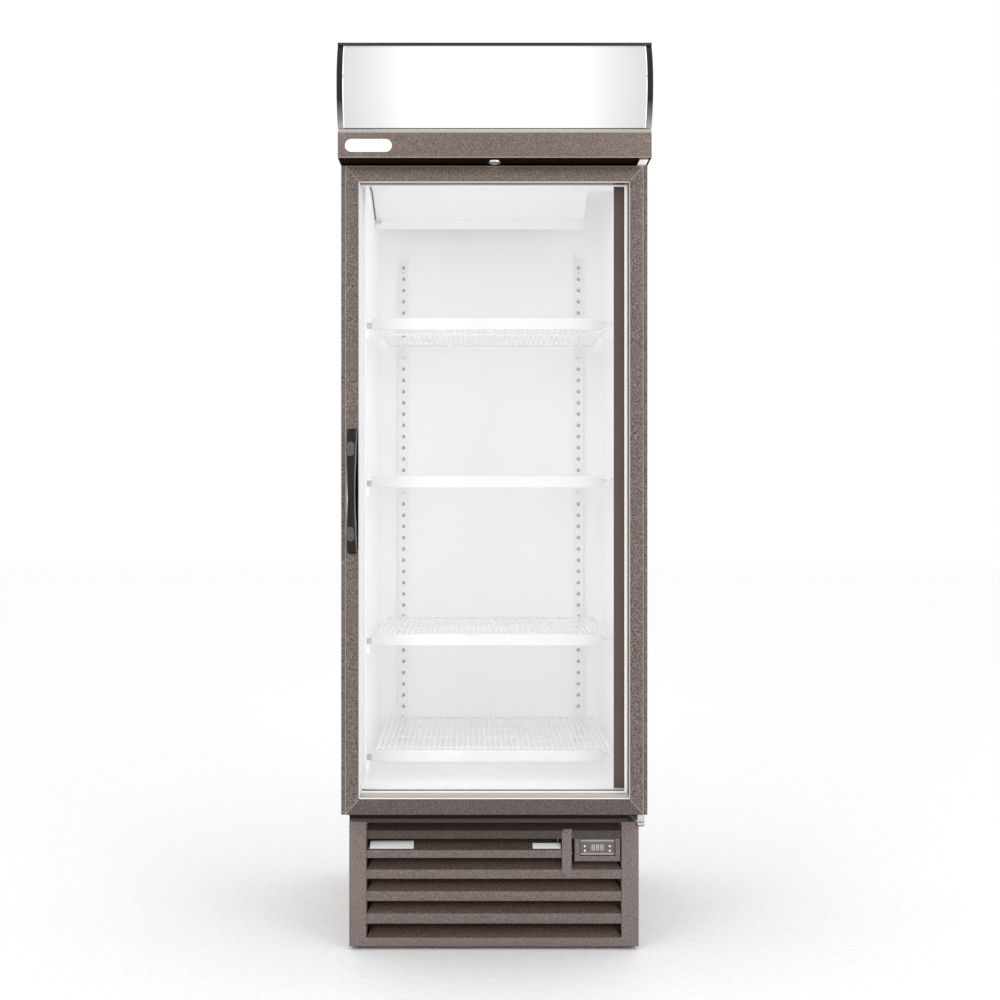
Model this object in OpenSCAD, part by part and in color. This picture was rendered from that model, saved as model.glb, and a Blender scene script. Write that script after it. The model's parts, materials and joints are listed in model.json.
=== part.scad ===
// Upright glass-door display refrigerator, built as separate pieces.
// Frame: +Z up, front faces -Y, origin at the centre of the footprint on the floor. Millimetres.

/* [Cabinet] */
// Outer width of the insulated cabinet
case_w = 628; // [610:1:640]
// Depth of the insulated cabinet, front plane to back
case_d = 600; // [580:1:640]
// Height of the cabinet top above the floor
case_top = 1800; // [1790:1:1810]
// Lower edge of the insulated cabinet above the floor
case_low = 291; // [290:1:292]
// Distance from the outer skin to the face of the inner liner
wall = 28; // [26:1:32]
// Thickness of the sheet-metal panels
skin = 1.5; // [1:0.1:2]
// Thickness of the inner liner
liner = 2; // [1.5:0.5:2.5]
// Height of the inner floor
floor_z = 350; // [350:1:352]
// Height of the flat front part of the ceiling
ceiling_z = 1699; // [1697:1:1701]
// Height of the lower edge of the evaporator cover
cover_low = 1633; // [1630:1:1640]
// Height of the feet under the base
foot_h = 8; // [6:1:10]

/* [Door] */
// Width of the door
door_w = 650; // [640:1:660]
// Upper edge of the door
door_top = 1682.6; // [1680:0.1:1683]
// Lower edge of the door
door_low = 306.4; // [306:0.1:308]
// Depth of the door frame
door_t = 52; // [48:1:54]
// Width of the upright frame profiles
stile_w = 37; // [35:1:40]
// Height of the horizontal frame profiles
rail_h = 33; // [31:1:35]
// Space between the door frame and the cabinet, filled by the gasket
gasket_t = 8; // [7:1:9]
// Distance of the hinge axis from the door's outer edge
hinge_inset = 13; // [12:1:14]

/* [Handle] */
// Length of the pull handle
handle_l = 265; // [250:5:280]
// Width of the pull handle
handle_w = 26; // [24:1:28]
// How far the handle stands out of the door at its middle
handle_out = 44; // [40:1:48]
// How far the handle stands out of the door at its ends
handle_end = 14; // [10:1:18]

/* [Shelves] */
// Top edges of the shelf price rails, from the lowest
shelf_top = [422, 678, 1026, 1374]; // [400:1:1400]
// Width of a wire shelf
shelf_w = 524; // [500:2:530]
// Number of wires that run front to back in a shelf
wires = 42; // [20:1:48]
// Thickness of a shelf wire
wire_t = 4; // [3:0.5:5]
// Height of a price rail
price_h = 26; // [22:1:30]
// Distance between the holes of a shelf upright
hole_pitch = 29; // [28:0.5:30]

/* [Sign canopy] */
// Width of the canopy
canopy_w = 654; // [650:1:660]
// Reach of the canopy's bulge in front of the cabinet
canopy_reach = 132; // [130:1:136]
// Depth of the bulge of the sign panel
bulge = 26; // [20:1:30]
// Lower edge of the fascia
fascia_low = 1687; // [1687:1:1690]
// Upper edge of the flat fascia
fascia_top = 1739; // [1735:1:1742]
// Lower edge of the sign panel
sign_low = 1749; // [1747:1:1752]
// Upper edge of the sign panel
sign_top = 1920; // [1915:1:1925]
// Top of the canopy
canopy_top = 1926; // [1926:1:1930]

/* [Grille] */
// Upper edge of the grille box
grille_top = 278; // [276:1:280]
// Depth of the grille box
grille_d = 44; // [40:1:48]
// Width of the upright borders of the grille
grille_side = 37; // [34:1:40]
// Upper edges of the louvre lips, from the top
lip_top = [258, 215.5, 173.5, 126.5, 78.5]; // [70:0.5:260]
// Heights of the louvre lips, from the top
lip_h = [17.5, 16.5, 19.5, 20.5, 21.5]; // [16:0.5:22]

/* [Hidden] */

// Planes of the cabinet
back_y = (case_d + canopy_reach) / 2;
front_y = back_y - case_d;
half_w = case_w / 2;
skin_in = half_w - skin;
room = half_w - wall;
rear_y = back_y - 36;
room_top = case_top - 40;

// Planes of the door
door_back = front_y - gasket_t;
door_front = door_back - door_t;
door_half = door_w / 2;
open_half = door_half - stile_w;
open_low = door_low + rail_h;
open_top = door_top - rail_h;
profile_t = 2;
step_w = 8;
step_d = 3;
hinge_x = door_half - hinge_inset;
hinge_y = (door_front + door_back) / 2;
pin_r = 4;
running = 0.05;
bush_r = 7;
bush_l = 14;
pin_l = 12;
bracket_t = 3;
bracket_x0 = hinge_x - 9;
bracket_x1 = hinge_x + 9;

// Glass unit, measured from the door's front
pane_t = 4;
outer_pane = door_front + 8;
inner_pane = outer_pane + 20;

// Evaporator cover and the tray behind its lip
cover_front = front_y + 74;
slope_front = front_y + 257;
cover_rear = front_y + 374;
cover_fold = cover_low + 24;
cover_right = 225;
tray_z = 1668;

// Shelf grid
shelf_front = front_y + 58;
shelf_back = shelf_front + 472;
bar_t = 6;
price_x0 = -269;
price_x1 = 241;
price_t = 2.5;
price_y = shelf_front - 6;

// Shelf uprights
upright_w = 24;
upright_t = 12;
upright_x = 226;
upright_top = 1586;
hole_r = 4.5;
front_post_y = front_y + 44;
post_back = front_post_y + 20;
post_t = 6;

// Canopy planes
canopy_half = canopy_w / 2;
fascia_y = front_y - canopy_reach + bulge;
canopy_back = front_y + 54;
end_t = 12;
sign_h = sign_top - sign_low;
sign_mid = (sign_low + sign_top) / 2;
sign_t = 3;
sign_r = (sign_h * sign_h / 4 + bulge * bulge) / (2 * bulge);
sign_cy = fascia_y - bulge + sign_r;

// Lock
lock_y = fascia_y + 31;
lock_low = door_top + 0.8;
lock_r = 13;
plunger_r = 10;
plug_r = 6;

// Grille and thermostat
grille_y = front_y - skin;
grille_half = half_w - 1;
grille_in = grille_half - grille_side;
bar_x0 = 147;
bar_x1 = 168;
blade_run = 30;
blade_rise = 22;
rail_top = 26.3;
blade_clip = 14;
bezel_x = 223.8;
bezel_w = 98.5;
bezel_low = 192;
bezel_top = lip_top[0] - lip_h[0] - 0.1;
control_z = 221.5;
control_w = 76;
control_h = 35;
control_y = front_y + 3;
button_x = 27;
button_z = [224, 214];
button_r = 2.2;
button_out = 0.8;

// Fans: centre of the evaporator fan and of the condenser fan
evap_fan = [0, 84, 1719];
cond_fan = [-20, -85, 140];
shaft_r = 2.5;

// Copper line, a route of hand-picked corners round the machine compartment
copper_r = 4;
LINE = [
    [170, 190, 205], [170, 190, 240], [170, 300, 240], [40, 300, 240], [40, 300, 60],
    [-120, 300, 60], [-120, 300, 130], [-225, 300, 130], [-225, -90, 130]
];

// Box between two values on each axis
module slab(x0, x1, y0, y1, z0, z1) {
    translate([x0, y0, z0]) cube([x1 - x0, y1 - y0, z1 - z0]);
}

// The same shape on the left and on the right
module both_sides() {
    children();
    mirror([1, 0, 0]) children();
}

// Outline in the Y-Z plane, extruded along X
module along_x(x0, x1) {
    translate([x0, 0, 0]) rotate([90, 0, 90]) linear_extrude(x1 - x0) children();
}

// Outline in the X-Z plane, extruded towards +Y
module along_y(y0, y1) {
    translate([0, y1, 0]) rotate([90, 0, 0]) linear_extrude(y1 - y0) children();
}

// Cylinder whose axis runs along +Y
module rod_y(x, y0, y1, z, r) {
    translate([x, y0, z]) rotate([-90, 0, 0]) cylinder(h = y1 - y0, r = r, $fn = 48);
}

// ---------- cabinet ----------

module side_panels() {
    color("dimgray") both_sides() difference() {
        slab(skin_in, half_w, front_y, back_y, foot_h, case_top);
        slab(skin_in - 1, half_w + 1, front_y - 1, front_y + grille_d, 0, case_low);
    }
}

module back_panel() {
    color("gainsboro") slab(-skin_in, skin_in, back_y - skin, back_y, case_low, case_top);
}

module top_panel() {
    color("dimgray") slab(-skin_in, skin_in, front_y, back_y - skin, case_top - skin, case_top);
}

module underside_panel() {
    color("silver") slab(-skin_in, skin_in, front_y + skin, back_y - skin, case_low, case_low + skin);
}

// Painted front faces round the opening, and the deeper flange beside the hinges
module front_frame() {
    flange_x = room - 27;
    sill = floor_z - liner;
    head = open_top + 8;
    color("dimgray") {
        slab(-skin_in, skin_in, front_y, front_y + skin, case_low, sill);
        slab(-skin_in, bracket_x0 - 12, front_y, front_y + skin, grille_top + 0.2, case_low);
        slab(-skin_in, skin_in, front_y, front_y + skin, head, case_top - skin);
        slab(-skin_in, -room, front_y, front_y + skin, sill, head);
        slab(flange_x, skin_in, front_y, front_y + skin, sill, head);
    }
}

module insulation() {
    foam_x = room + liner;
    color("khaki") difference() {
        slab(-skin_in, skin_in, front_y + skin, back_y - skin, case_low + skin, case_top - skin);
        slab(-foam_x, foam_x, front_y, rear_y + liner, floor_z - liner, room_top + liner);
    }
}

module inner_liner() {
    low = floor_z - liner;
    high = room_top + liner;
    y0 = front_y + skin;
    color("white") {
        slab(-room - liner, -room, y0, rear_y + liner, low, high);
        slab(room, room + liner, y0, rear_y + liner, low, high);
        slab(-room, room, rear_y, rear_y + liner, low, high);
        slab(-room, room, y0, rear_y, low, floor_z);
        slab(-room, room, y0, rear_y, room_top, high);
    }
}

// Perforated shelf uprights: two on the rear wall and two on the side walls
module pilasters() {
    face = rear_y - upright_t;
    first_hole = upright_top - 18;
    holes = floor((upright_top - floor_z) / hole_pitch) - 1;
    color("white") {
        both_sides() difference() {
            slab(
                upright_x - upright_w / 2, upright_x + upright_w / 2,
                face, rear_y, floor_z + 2, upright_top
            );
            for (i = [0 : holes - 1])
                rod_y(upright_x, face - 1, rear_y - 4, first_hole - i * hole_pitch, hole_r);
        }
        both_sides() slab(room - post_t, room, front_post_y, post_back, floor_z + 2, upright_top);
    }
}

// Clips that hold each shelf: a hook in each rear upright and a tab on each side post
module shelf_clips() {
    hook_y = rear_y - upright_t - 3;
    color("white") for (top = shelf_top) both_sides() {
        under = top - 8 - bar_t;
        slab(upright_x - 3, upright_x + 3, hook_y, rear_y - upright_t, under - 30, under + 2);
        slab(upright_x - 3, upright_x + 3, shelf_back - 8, hook_y, under - 4, under);
        slab(shelf_w / 2 - 8, room - post_t, shelf_front, post_back, under - 3, under);
        slab(room - 12, room - post_t, shelf_front, post_back, under - 30, under - 3);
    }
}

// ---------- shelves ----------

module wire_shelf(top) {
    wire_z = top - 4 - wire_t;
    pitch = (shelf_w - wire_t) / (wires - 1);
    bars = [for (d = [0, 78, 208, 338, shelf_back - bar_t - shelf_front]) shelf_front + d];
    color("white") {
        for (i = [0 : wires - 1])
            translate([-shelf_w / 2 + i * pitch, shelf_front, wire_z])
                cube([wire_t, shelf_back - shelf_front, wire_t]);
        for (y = bars)
            slab(-shelf_w / 2, shelf_w / 2, y, y + bar_t, wire_z - bar_t, wire_z + 1);
    }
}

module shelf_1() { wire_shelf(shelf_top[0]); }
module shelf_2() { wire_shelf(shelf_top[1]); }
module shelf_3() { wire_shelf(shelf_top[2]); }
module shelf_4() { wire_shelf(shelf_top[3]); }

// White plastic price rails clipped on the front of the shelves
module price_rails() {
    color("white") for (top = shelf_top) along_x(price_x0, price_x1) union() {
        translate([price_y, top - price_h]) square([price_t, price_h]);
        translate([price_y, top - price_t]) square([shelf_front - price_y, price_t]);
        translate([price_y, top - price_h]) square([shelf_front - price_y, price_t]);
    }
}

// ---------- cooling inside ----------

// Folded panel below the evaporator: a flat front part with air slots, a slope and a rear lip
module evaporator_cover() {
    t = 2;
    x = room - 1;
    z = ceiling_z;
    color("white") difference() {
        union() {
            slab(-x, x, cover_front, slope_front, z, z + t);
            slab(-x, x, cover_front, cover_front + t, z, room_top);
            along_x(-x, cover_right) polygon([
                [slope_front, z], [cover_rear - t, cover_fold], [cover_rear - t, cover_low],
                [cover_rear, cover_low], [cover_rear, cover_fold + t], [slope_front, z + t]
            ]);
        }
        for (i = [-4 : 4])
            slab(i * 56 - 20, i * 56 + 20, cover_front - 1, cover_front + t + 1, z + 20, z + 45);
    }
}

module fin_block(x0, x1, y0, y1, z0, z1, fins, rows) {
    pitch = (x1 - x0 - 1.5) / (fins - 1);
    for (i = [0 : fins - 1])
        translate([x0 + i * pitch, y0, z0]) cube([1.5, y1 - y0, z1 - z0]);
    for (r = [0 : rows - 1])
        translate([x0 - 12, (y0 + y1) / 2, z0 + (r + 0.5) * (z1 - z0) / rows])
            rotate([0, 90, 0]) cylinder(h = x1 - x0 + 24, r = 4.5, $fn = 32);
}

module evaporator_coil() {
    color("silver") fin_block(-225, 175, cover_rear + 14, cover_rear + 94, 1688, room_top, 30, 3);
}

module drip_tray() {
    y0 = cover_rear + 4;
    y1 = cover_rear + 108;
    color("lightgray") difference() {
        slab(-250, 200, y0, y1, tray_z, tray_z + 14);
        slab(-248, 198, y0 + 2, y1 - 2, tray_z + 2, tray_z + 15);
    }
    color("lightgray") for (x = [-250, 198])
        slab(x, x + 2, y0, y0 + 20, tray_z + 13, room_top);
}

// Fan with flat pitched blades, its hub bored for the motor shaft
module fan(centre, r, depth, blades) {
    hub_r = r * 0.24;
    difference() {
        union() {
            rod_y(centre[0], centre[1] - depth / 2, centre[1] + depth / 2, centre[2], hub_r);
            for (i = [0 : blades - 1])
                translate(centre) rotate([0, i * 360 / blades, 0])
                    translate([hub_r - 2, 0, 0]) rotate([32, 0, 0])
                        translate([0, -1, -r * 0.24]) cube([r * 0.93 - hub_r, 2, r * 0.48]);
        }
        rod_y(centre[0], centre[1] - depth, centre[1] + depth, centre[2], shaft_r + running);
    }
}

module evaporator_fan() { color("black") fan(evap_fan, 34, 14, 5); }
module condenser_fan() { color("black") fan(cond_fan, 88, 24, 5); }

// Motor behind a fan, on a cross strap
module fan_motor(centre, r, depth, start, strap) {
    y0 = centre[1] + start;
    rod_y(centre[0], y0, y0 + depth, centre[2], r);
    rod_y(centre[0], centre[1] - start + 2, y0 + 1, centre[2], shaft_r);
    slab(
        centre[0] - strap, centre[0] + strap, y0 + depth - 1, y0 + depth + 2,
        centre[2] - 8, centre[2] + 8
    );
}

module fan_motors() {
    color("slategray") {
        fan_motor(evap_fan, 20, 30, 12, 70);
        fan_motor(cond_fan, 38, 50, 20, 130);
        both_sides()
            slab(62, 70, evap_fan[1] + 41, evap_fan[1] + 44, evap_fan[2] - 8, room_top);
        for (x = [-150, 104])
            slab(x, x + 6, cond_fan[1] + 72, cond_fan[1] + 86, foot_h + 2, cond_fan[2] + 8);
    }
}

// ---------- interior lamp ----------

lamp_x = -room;
lamp_y = front_y + 20;
lamp_r = 3;
lamp_t = 1;
lamp_axis = lamp_x + lamp_t + lamp_r;
lamp_low = 362;
lamp_high = 1650;

module lamp_channel() {
    color("white") {
        slab(lamp_x, lamp_x + lamp_t, lamp_y - 9, lamp_y + 9, lamp_low - 4, lamp_high + 4);
        for (z = [lamp_low - 4, lamp_high])
            translate([lamp_axis, lamp_y, z]) cylinder(h = 4, r = lamp_r, $fn = 48);
    }
}

module lamp_diffuser() {
    color("white") translate([lamp_axis, lamp_y, lamp_low]) difference() {
        cylinder(h = lamp_high - lamp_low, r = lamp_r, $fn = 48);
        translate([0, 0, -1]) cylinder(h = lamp_high - lamp_low + 2, r = lamp_r - 0.8, $fn = 48);
    }
}

module led_tubes() {
    color("ivory") {
        translate([lamp_axis, lamp_y, lamp_low + 10])
            cylinder(h = lamp_high - lamp_low - 20, r = 1.5, $fn = 32);
        translate([-290, fascia_y + 50, sign_mid]) rotate([0, 90, 0])
            cylinder(h = 580, r = 13, $fn = 48);
    }
}

// ---------- sign canopy ----------

// Folded sheet: top, back, deck on the cabinet, and the drop behind the fascia
module canopy_housing() {
    x = canopy_half - end_t;
    deck = case_top;
    color("dimgray") {
        slab(-canopy_half, canopy_half, fascia_y - 3, canopy_back, sign_top, canopy_top);
        slab(-x, x, canopy_back - skin, canopy_back, deck, sign_top);
        slab(-x, x, front_y - skin, canopy_back - skin, deck, deck + skin);
        slab(-x, x, front_y - skin, front_y, fascia_low + skin, deck);
    }
}

// Side outline of the canopy above the fascia: bulged front, straight back, step over the cabinet
module canopy_outline() {
    intersection() {
        translate([sign_cy, sign_mid]) circle(r = sign_r, $fn = 180);
        translate([fascia_y - bulge - 1, sign_low]) square([bulge + 30, sign_h]);
    }
    translate([fascia_y + 8, sign_low]) square([front_y - fascia_y - 8, sign_h]);
    translate([front_y - 1, case_top]) square([canopy_back - front_y + 1, sign_top - case_top]);
}

module canopy_ends() {
    color("black") both_sides() along_x(canopy_half - end_t, canopy_half) canopy_outline();
}

// Curved translucent panel between the two ends
module sign_panel() {
    x = canopy_half - end_t;
    color("white") along_x(-x, x) intersection() {
        difference() {
            translate([sign_cy, sign_mid]) circle(r = sign_r, $fn = 180);
            translate([sign_cy, sign_mid]) circle(r = sign_r - sign_t, $fn = 180);
        }
        translate([fascia_y - bulge - 1, sign_low]) square([bulge + 12, sign_h]);
    }
}

// Folded fascia below the sign: front, sloping lip, bottom and two returns
module fascia() {
    x = canopy_half - skin;
    color("dimgray") difference() {
        union() {
            along_x(-canopy_half, canopy_half) polygon([
                [fascia_y, fascia_low], [front_y - skin, fascia_low],
                [front_y - skin, fascia_low + skin], [fascia_y + skin, fascia_low + skin],
                [fascia_y + skin, fascia_top], [fascia_y + 9, sign_low - skin],
                [fascia_y + 9, sign_low], [fascia_y + 6, sign_low], [fascia_y, fascia_top]
            ]);
            both_sides()
                slab(x, canopy_half, fascia_y + skin, front_y - skin, fascia_low, fascia_top);
        }
        translate([0, lock_y, fascia_low - 1]) cylinder(h = skin + 2, r = lock_r, $fn = 64);
    }
}

// Blank plates: a badge with round ends on the fascia and two small ones on a louvre
module label_plates() {
    badge_x = -263;
    badge_z = 1712.5;
    badge_r = 13.5;
    badge_l = 98;
    tilt = atan2(blade_rise, blade_run);
    color("white") {
        along_y(fascia_y - 1.5, fascia_y) union() {
            for (s = [-1, 1])
                translate([badge_x + s * (badge_l / 2 - badge_r), badge_z]) circle(r = badge_r, $fn = 48);
            translate([badge_x - badge_l / 2 + badge_r, badge_z - badge_r])
                square([badge_l - 2 * badge_r, 2 * badge_r]);
        }
        for (p = [[-269, 95, 21], [84, 61, 15]])
            translate([p[0], front_y + skin, lip_top[1] + skin]) rotate([tilt, 0, 0])
                translate([0, 2, 0]) cube([p[1], p[2], 0.8]);
    }
}

// ---------- base ----------

foot_x = half_w - 45;
foot_ys = [front_y + grille_d + 40, back_y - 50];

module base_pan() {
    y0 = front_y + grille_d;
    color("silver") difference() {
        union() {
            slab(-skin_in, skin_in, y0, back_y - skin, foot_h, foot_h + 2);
            both_sides() slab(skin_in - 2, skin_in, y0, guard_y, foot_h, foot_h + 22);
        }
        for (y = foot_ys) both_sides()
            translate([foot_x, y, foot_h - 1]) cylinder(h = 4, r = 5.2, $fn = 40);
    }
}

module levelling_feet() {
    color("black") for (y = foot_ys) both_sides() translate([foot_x, y, 0]) {
        cylinder(h = foot_h, r = 21, $fn = 64);
        cylinder(h = foot_h + 16, r = 5, $fn = 40);
    }
}

// Box-shaped grille cover: two upright channels, bottom rail, top flange and window bar
module grille_frame() {
    y1 = front_y + grille_d;
    color("dimgray") {
        both_sides() {
            slab(grille_in, grille_half, grille_y, front_y, foot_h, grille_top);
            slab(grille_half - skin, grille_half, front_y, y1, foot_h, grille_top);
            slab(grille_in, grille_in + skin, front_y, y1, foot_h, grille_top - skin);
        }
        slab(-grille_in, grille_in, grille_y, front_y, foot_h, rail_top);
        slab(-grille_in, grille_in, front_y, front_y + 20, foot_h, foot_h + skin);
        slab(-grille_half + skin, grille_half - skin, front_y, y1, grille_top - skin, grille_top);
        slab(-grille_in, grille_in, grille_y, front_y, grille_top - skin, grille_top);
        slab(bar_x0, bar_x1, grille_y, front_y, lip_top[2] - 16, lip_top[0] + 4);
    }
}

// One louvre: upright lip and a blade that slopes up and back, its rear corners cut off
module louvre(x0, x1, top, h) {
    y0 = front_y;
    ceiling = grille_top - skin - 0.3;
    slab(x0, x1, y0, y0 + skin, top - h, top);
    intersection() {
        along_x(x0, x1) polygon([
            [y0, top], [y0, top - skin], [y0 + skin, top - skin],
            [y0 + blade_run, top + blade_rise - skin], [y0 + blade_run, top + blade_rise]
        ]);
        translate([0, 0, top - h]) linear_extrude(min(h + blade_rise, ceiling - top + h)) polygon([
            [x0, y0], [x1, y0], [x1, y0 + 2],
            [x1 - blade_clip, y0 + blade_run], [x0 + blade_clip, y0 + blade_run], [x0, y0 + 2]
        ]);
    }
}

module grille_louvres() {
    ends = [grille_in, bar_x0, grille_in, grille_in, grille_in];
    color("dimgray") {
        for (i = [0 : len(lip_top) - 1])
            louvre(-grille_in, ends[i], lip_top[i], lip_h[i]);
        louvre(-grille_in, grille_in, rail_top, rail_top - foot_h - skin);
    }
}

// ---------- thermostat ----------

module thermostat_bezel() {
    x0 = bezel_x - bezel_w / 2;
    x1 = bezel_x + bezel_w / 2;
    z0 = bezel_low;
    z1 = bezel_top;
    color("dimgray") difference() {
        union() {
            slab(x0, x1, front_y, front_y + skin, z0, z1);
            slab(x0, x0 + skin, front_y, front_y + 24, z0, z1);
            slab(x1 - skin, x1, front_y, front_y + 24, z0, z1);
        }
        slab(
            bezel_x - control_w / 2 - 0.5, bezel_x + control_w / 2 + 0.5, front_y - 1, front_y + 3,
            control_z - control_h / 2 - 0.5, control_z + control_h / 2 + 0.5
        );
    }
}

module thermostat_body() {
    z0 = control_z - control_h / 2;
    color("black") difference() {
        union() {
            slab(
                bezel_x - control_w / 2, bezel_x + control_w / 2, control_y, control_y + 6,
                z0, z0 + control_h
            );
            slab(bezel_x - 35, bezel_x + 35, control_y + 6, control_y + 60, z0 + 3, z0 + control_h - 3);
        }
        slab(bezel_x - 15, bezel_x + 16, control_y - 1, control_y + 1.5, control_z - 9, control_z + 8);
        for (s = [-1, 1], z = button_z)
            rod_y(bezel_x + s * button_x, control_y - 1, control_y + 3.3, z, button_r + 0.3);
    }
}

// Three-digit display window
module thermostat_display() {
    color("gray")
        slab(bezel_x - 15, bezel_x + 16, control_y + 0.3, control_y + 1.5, control_z - 9, control_z + 8);
}

module push_button(side, z) {
    color("white") rod_y(bezel_x + side * button_x, control_y - button_out, control_y + 2.2, z, button_r);
}

module button_set() { push_button(-1, button_z[0]); }
module button_power() { push_button(-1, button_z[1]); }
module button_up() { push_button(1, button_z[0]); }
module button_down() { push_button(1, button_z[1]); }

// ---------- condensing unit ----------

module compressor() {
    base = foot_h + 2;
    color("black") translate([120, 200, base]) {
        difference() {
            translate([-100, -60, 14]) cube([200, 120, 3]);
            for (x = [-88, 88], y = [-48, 48])
                translate([x, y, 13]) cylinder(h = 5, r = 4, $fn = 32);
        }
        for (x = [-88, 88], y = [-48, 48])
            translate([x, y, 0]) cylinder(h = 14, r = 11, $fn = 40);
        translate([0, 0, 15]) cylinder(h = 100, r = 72, $fn = 96);
        translate([0, 0, 40]) intersection() {
            sphere(r = 148, $fn = 96);
            translate([0, 0, 70]) cylinder(h = 90, r = 72, $fn = 96);
        }
        translate([-40, -82, 50]) cube([80, 30, 60]);
        translate([50, -10, 160]) cylinder(h = 25, r = 6, $fn = 32);
    }
}

module condenser() {
    color("silver") {
        fin_block(-205, 165, -165, -105, 30, 250, 36, 5);
        both_sides() translate([20, 0, 0])
            slab(186, 190, -170, -100, foot_h + 2, 262);
    }
}

module tube(points, r) {
    for (i = [0 : len(points) - 2]) {
        d = points[i + 1] - points[i];
        length = norm(d);
        translate(points[i]) rotate([0, acos(d[2] / length), atan2(d[1], d[0])])
            cylinder(h = length, r = r, $fn = 32);
    }
    for (i = [1 : len(points) - 2])
        translate(points[i]) sphere(r = r, $fn = 32);
}

module refrigerant_pipes() { color("peru") tube(LINE, copper_r); }

module filter_drier() {
    color("peru") translate([-225, 160, 130]) rotate([90, 0, 0]) difference() {
        union() {
            cylinder(h = 90, r = 13, $fn = 48);
            translate([0, 0, 90]) cylinder(h = 14, r1 = 13, r2 = 6, $fn = 48);
            translate([0, 0, -14]) cylinder(h = 14, r1 = 6, r2 = 13, $fn = 48);
        }
        translate([0, 0, -15]) cylinder(h = 120, r = copper_r, $fn = 32);
    }
}

module electrical_box() {
    color("lightgray") {
        slab(-290, -245, 120, 260, foot_h + 2, 150);
        slab(-245, -243, 118, 262, foot_h + 10, 152);
    }
}

module condensate_tray() {
    color("black") difference() {
        slab(-170, 10, 90, 240, foot_h + 2, foot_h + 40);
        slab(-167, 7, 93, 237, foot_h + 5, foot_h + 41);
    }
}

// Slotted cover over the back of the machine compartment
gland_x = -230;
gland_z = 60;
guard_y = back_y - 16;

module rear_guard() {
    color("silver") difference() {
        union() {
            slab(-skin_in, skin_in, guard_y, guard_y + skin, foot_h + 2, case_low);
            slab(-skin_in + 2, skin_in - 2, guard_y + skin, back_y - skin, foot_h + 2, foot_h + 4);
        }
        for (i = [0 : 8], j = [-1 : 1])
            slab(j * 170 - 70, j * 170 + 70, guard_y - 1, guard_y + skin + 1, 100 + i * 19, 108 + i * 19);
        rod_y(gland_x, guard_y - 1, guard_y + skin + 1, gland_z, 9);
    }
}

// Hexagonal collar of the cable gland
module nut_y(y, length) {
    translate([gland_x, y, gland_z]) rotate([-90, 0, 0]) cylinder(h = length, r = 13, $fn = 6);
}

// Cable gland with a clear way for the supply cord
module cable_gland() {
    color("black") difference() {
        union() {
            rod_y(gland_x, guard_y - 10, guard_y + skin, gland_z, 9);
            nut_y(guard_y + skin, 7);
            nut_y(guard_y - 15, 5);
            rod_y(gland_x, guard_y + skin + 7, guard_y + skin + 12, gland_z, 8);
            rod_y(gland_x, guard_y - 5.2, guard_y, gland_z, 12);
        }
        rod_y(gland_x, guard_y - 20, back_y + 10, gland_z, 4.5);
    }
}

// ---------- hinges and lock ----------

module hinge_brackets() {
    plate_low = case_low - bracket_t;
    collar_top = door_low - 2.4;
    plate_high = fascia_low - bracket_t;
    color("silver") {
        translate([0, 0, plate_low]) linear_extrude(bracket_t) polygon([
            [bracket_x0 - 8, front_y + 40], [bracket_x0 - 6, front_y], [bracket_x0, hinge_y - 8],
            [bracket_x1 - 2, hinge_y - 8], [bracket_x1, front_y], [bracket_x1 - 10, front_y + 40]
        ]);
        translate([hinge_x, hinge_y, case_low]) cylinder(h = collar_top - case_low, r = 9, $fn = 64);
        translate([hinge_x, hinge_y, collar_top]) cylinder(h = pin_l + 2.4, r = pin_r, $fn = 64);
        translate([hinge_x, hinge_y, plate_low]) intersection() {
            sphere(r = 12, $fn = 64);
            translate([0, 0, -12]) cylinder(h = 12, r = 9, $fn = 64);
        }
        slab(bracket_x0, bracket_x1, fascia_y + 5, front_y - skin, plate_high, fascia_low);
        translate([hinge_x, hinge_y, door_top - pin_l])
            cylinder(h = plate_high - door_top + pin_l, r = pin_r, $fn = 64);
    }
}

module lock_body() {
    color("silver") translate([0, lock_y, lock_low]) difference() {
        union() {
            cylinder(h = 30, r = lock_r, $fn = 64);
            translate([0, 0, fascia_low - lock_low + skin]) cylinder(h = 5, r = lock_r + 4, $fn = 6);
        }
        translate([0, 0, -1]) cylinder(h = 32, r = plunger_r + running, $fn = 64);
    }
}

module lock_plunger() {
    color("gainsboro") translate([0, lock_y, lock_low + 0.3]) difference() {
        cylinder(h = 40, r = plunger_r, $fn = 64);
        translate([0, 0, -1]) cylinder(h = 19, r = plug_r + running, $fn = 64);
    }
}

module lock_plug() {
    color("gold") translate([0, lock_y, lock_low + 0.3]) difference() {
        cylinder(h = 17.5, r = plug_r, $fn = 64);
        translate([-4, -0.6, -1]) cube([8, 1.2, 9]);
    }
}

// ---------- door ----------

// Front outline of one member of the frame, with mitred ends
function stile_outline() = [
    [open_half, open_low], [door_half, door_low], [door_half, door_top], [open_half, open_top]
];
function rail_outline(outer, inner) = [
    [-door_half, outer], [door_half, outer], [open_half, inner], [-open_half, inner]
];

module door_stiles() {
    t = profile_t;
    face = door_front + step_d;
    color("dimgray") both_sides() difference() {
        along_y(door_front, door_back) polygon(stile_outline());
        slab(open_half + t, door_half - t, face + t, door_back - t, door_low, door_top);
        slab(door_half - step_w, door_half + 1, door_front - 1, face, door_low - 1, door_top + 1);
    }
}

module rail(outer, inner) {
    t = profile_t;
    low = min(outer, inner) + t;
    high = max(outer, inner) - t;
    difference() {
        along_y(door_front, door_back) polygon(rail_outline(outer, inner));
        slab(-door_half, door_half, door_front + t, door_back - t, low, high);
        both_sides()
            slab(door_half - step_w, door_half + 1, door_front - 1, door_front + step_d, low - 9, high + 9);
        translate([hinge_x, hinge_y, outer - 5]) cylinder(h = 10, r = bush_r, $fn = 64);
    }
}

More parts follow.
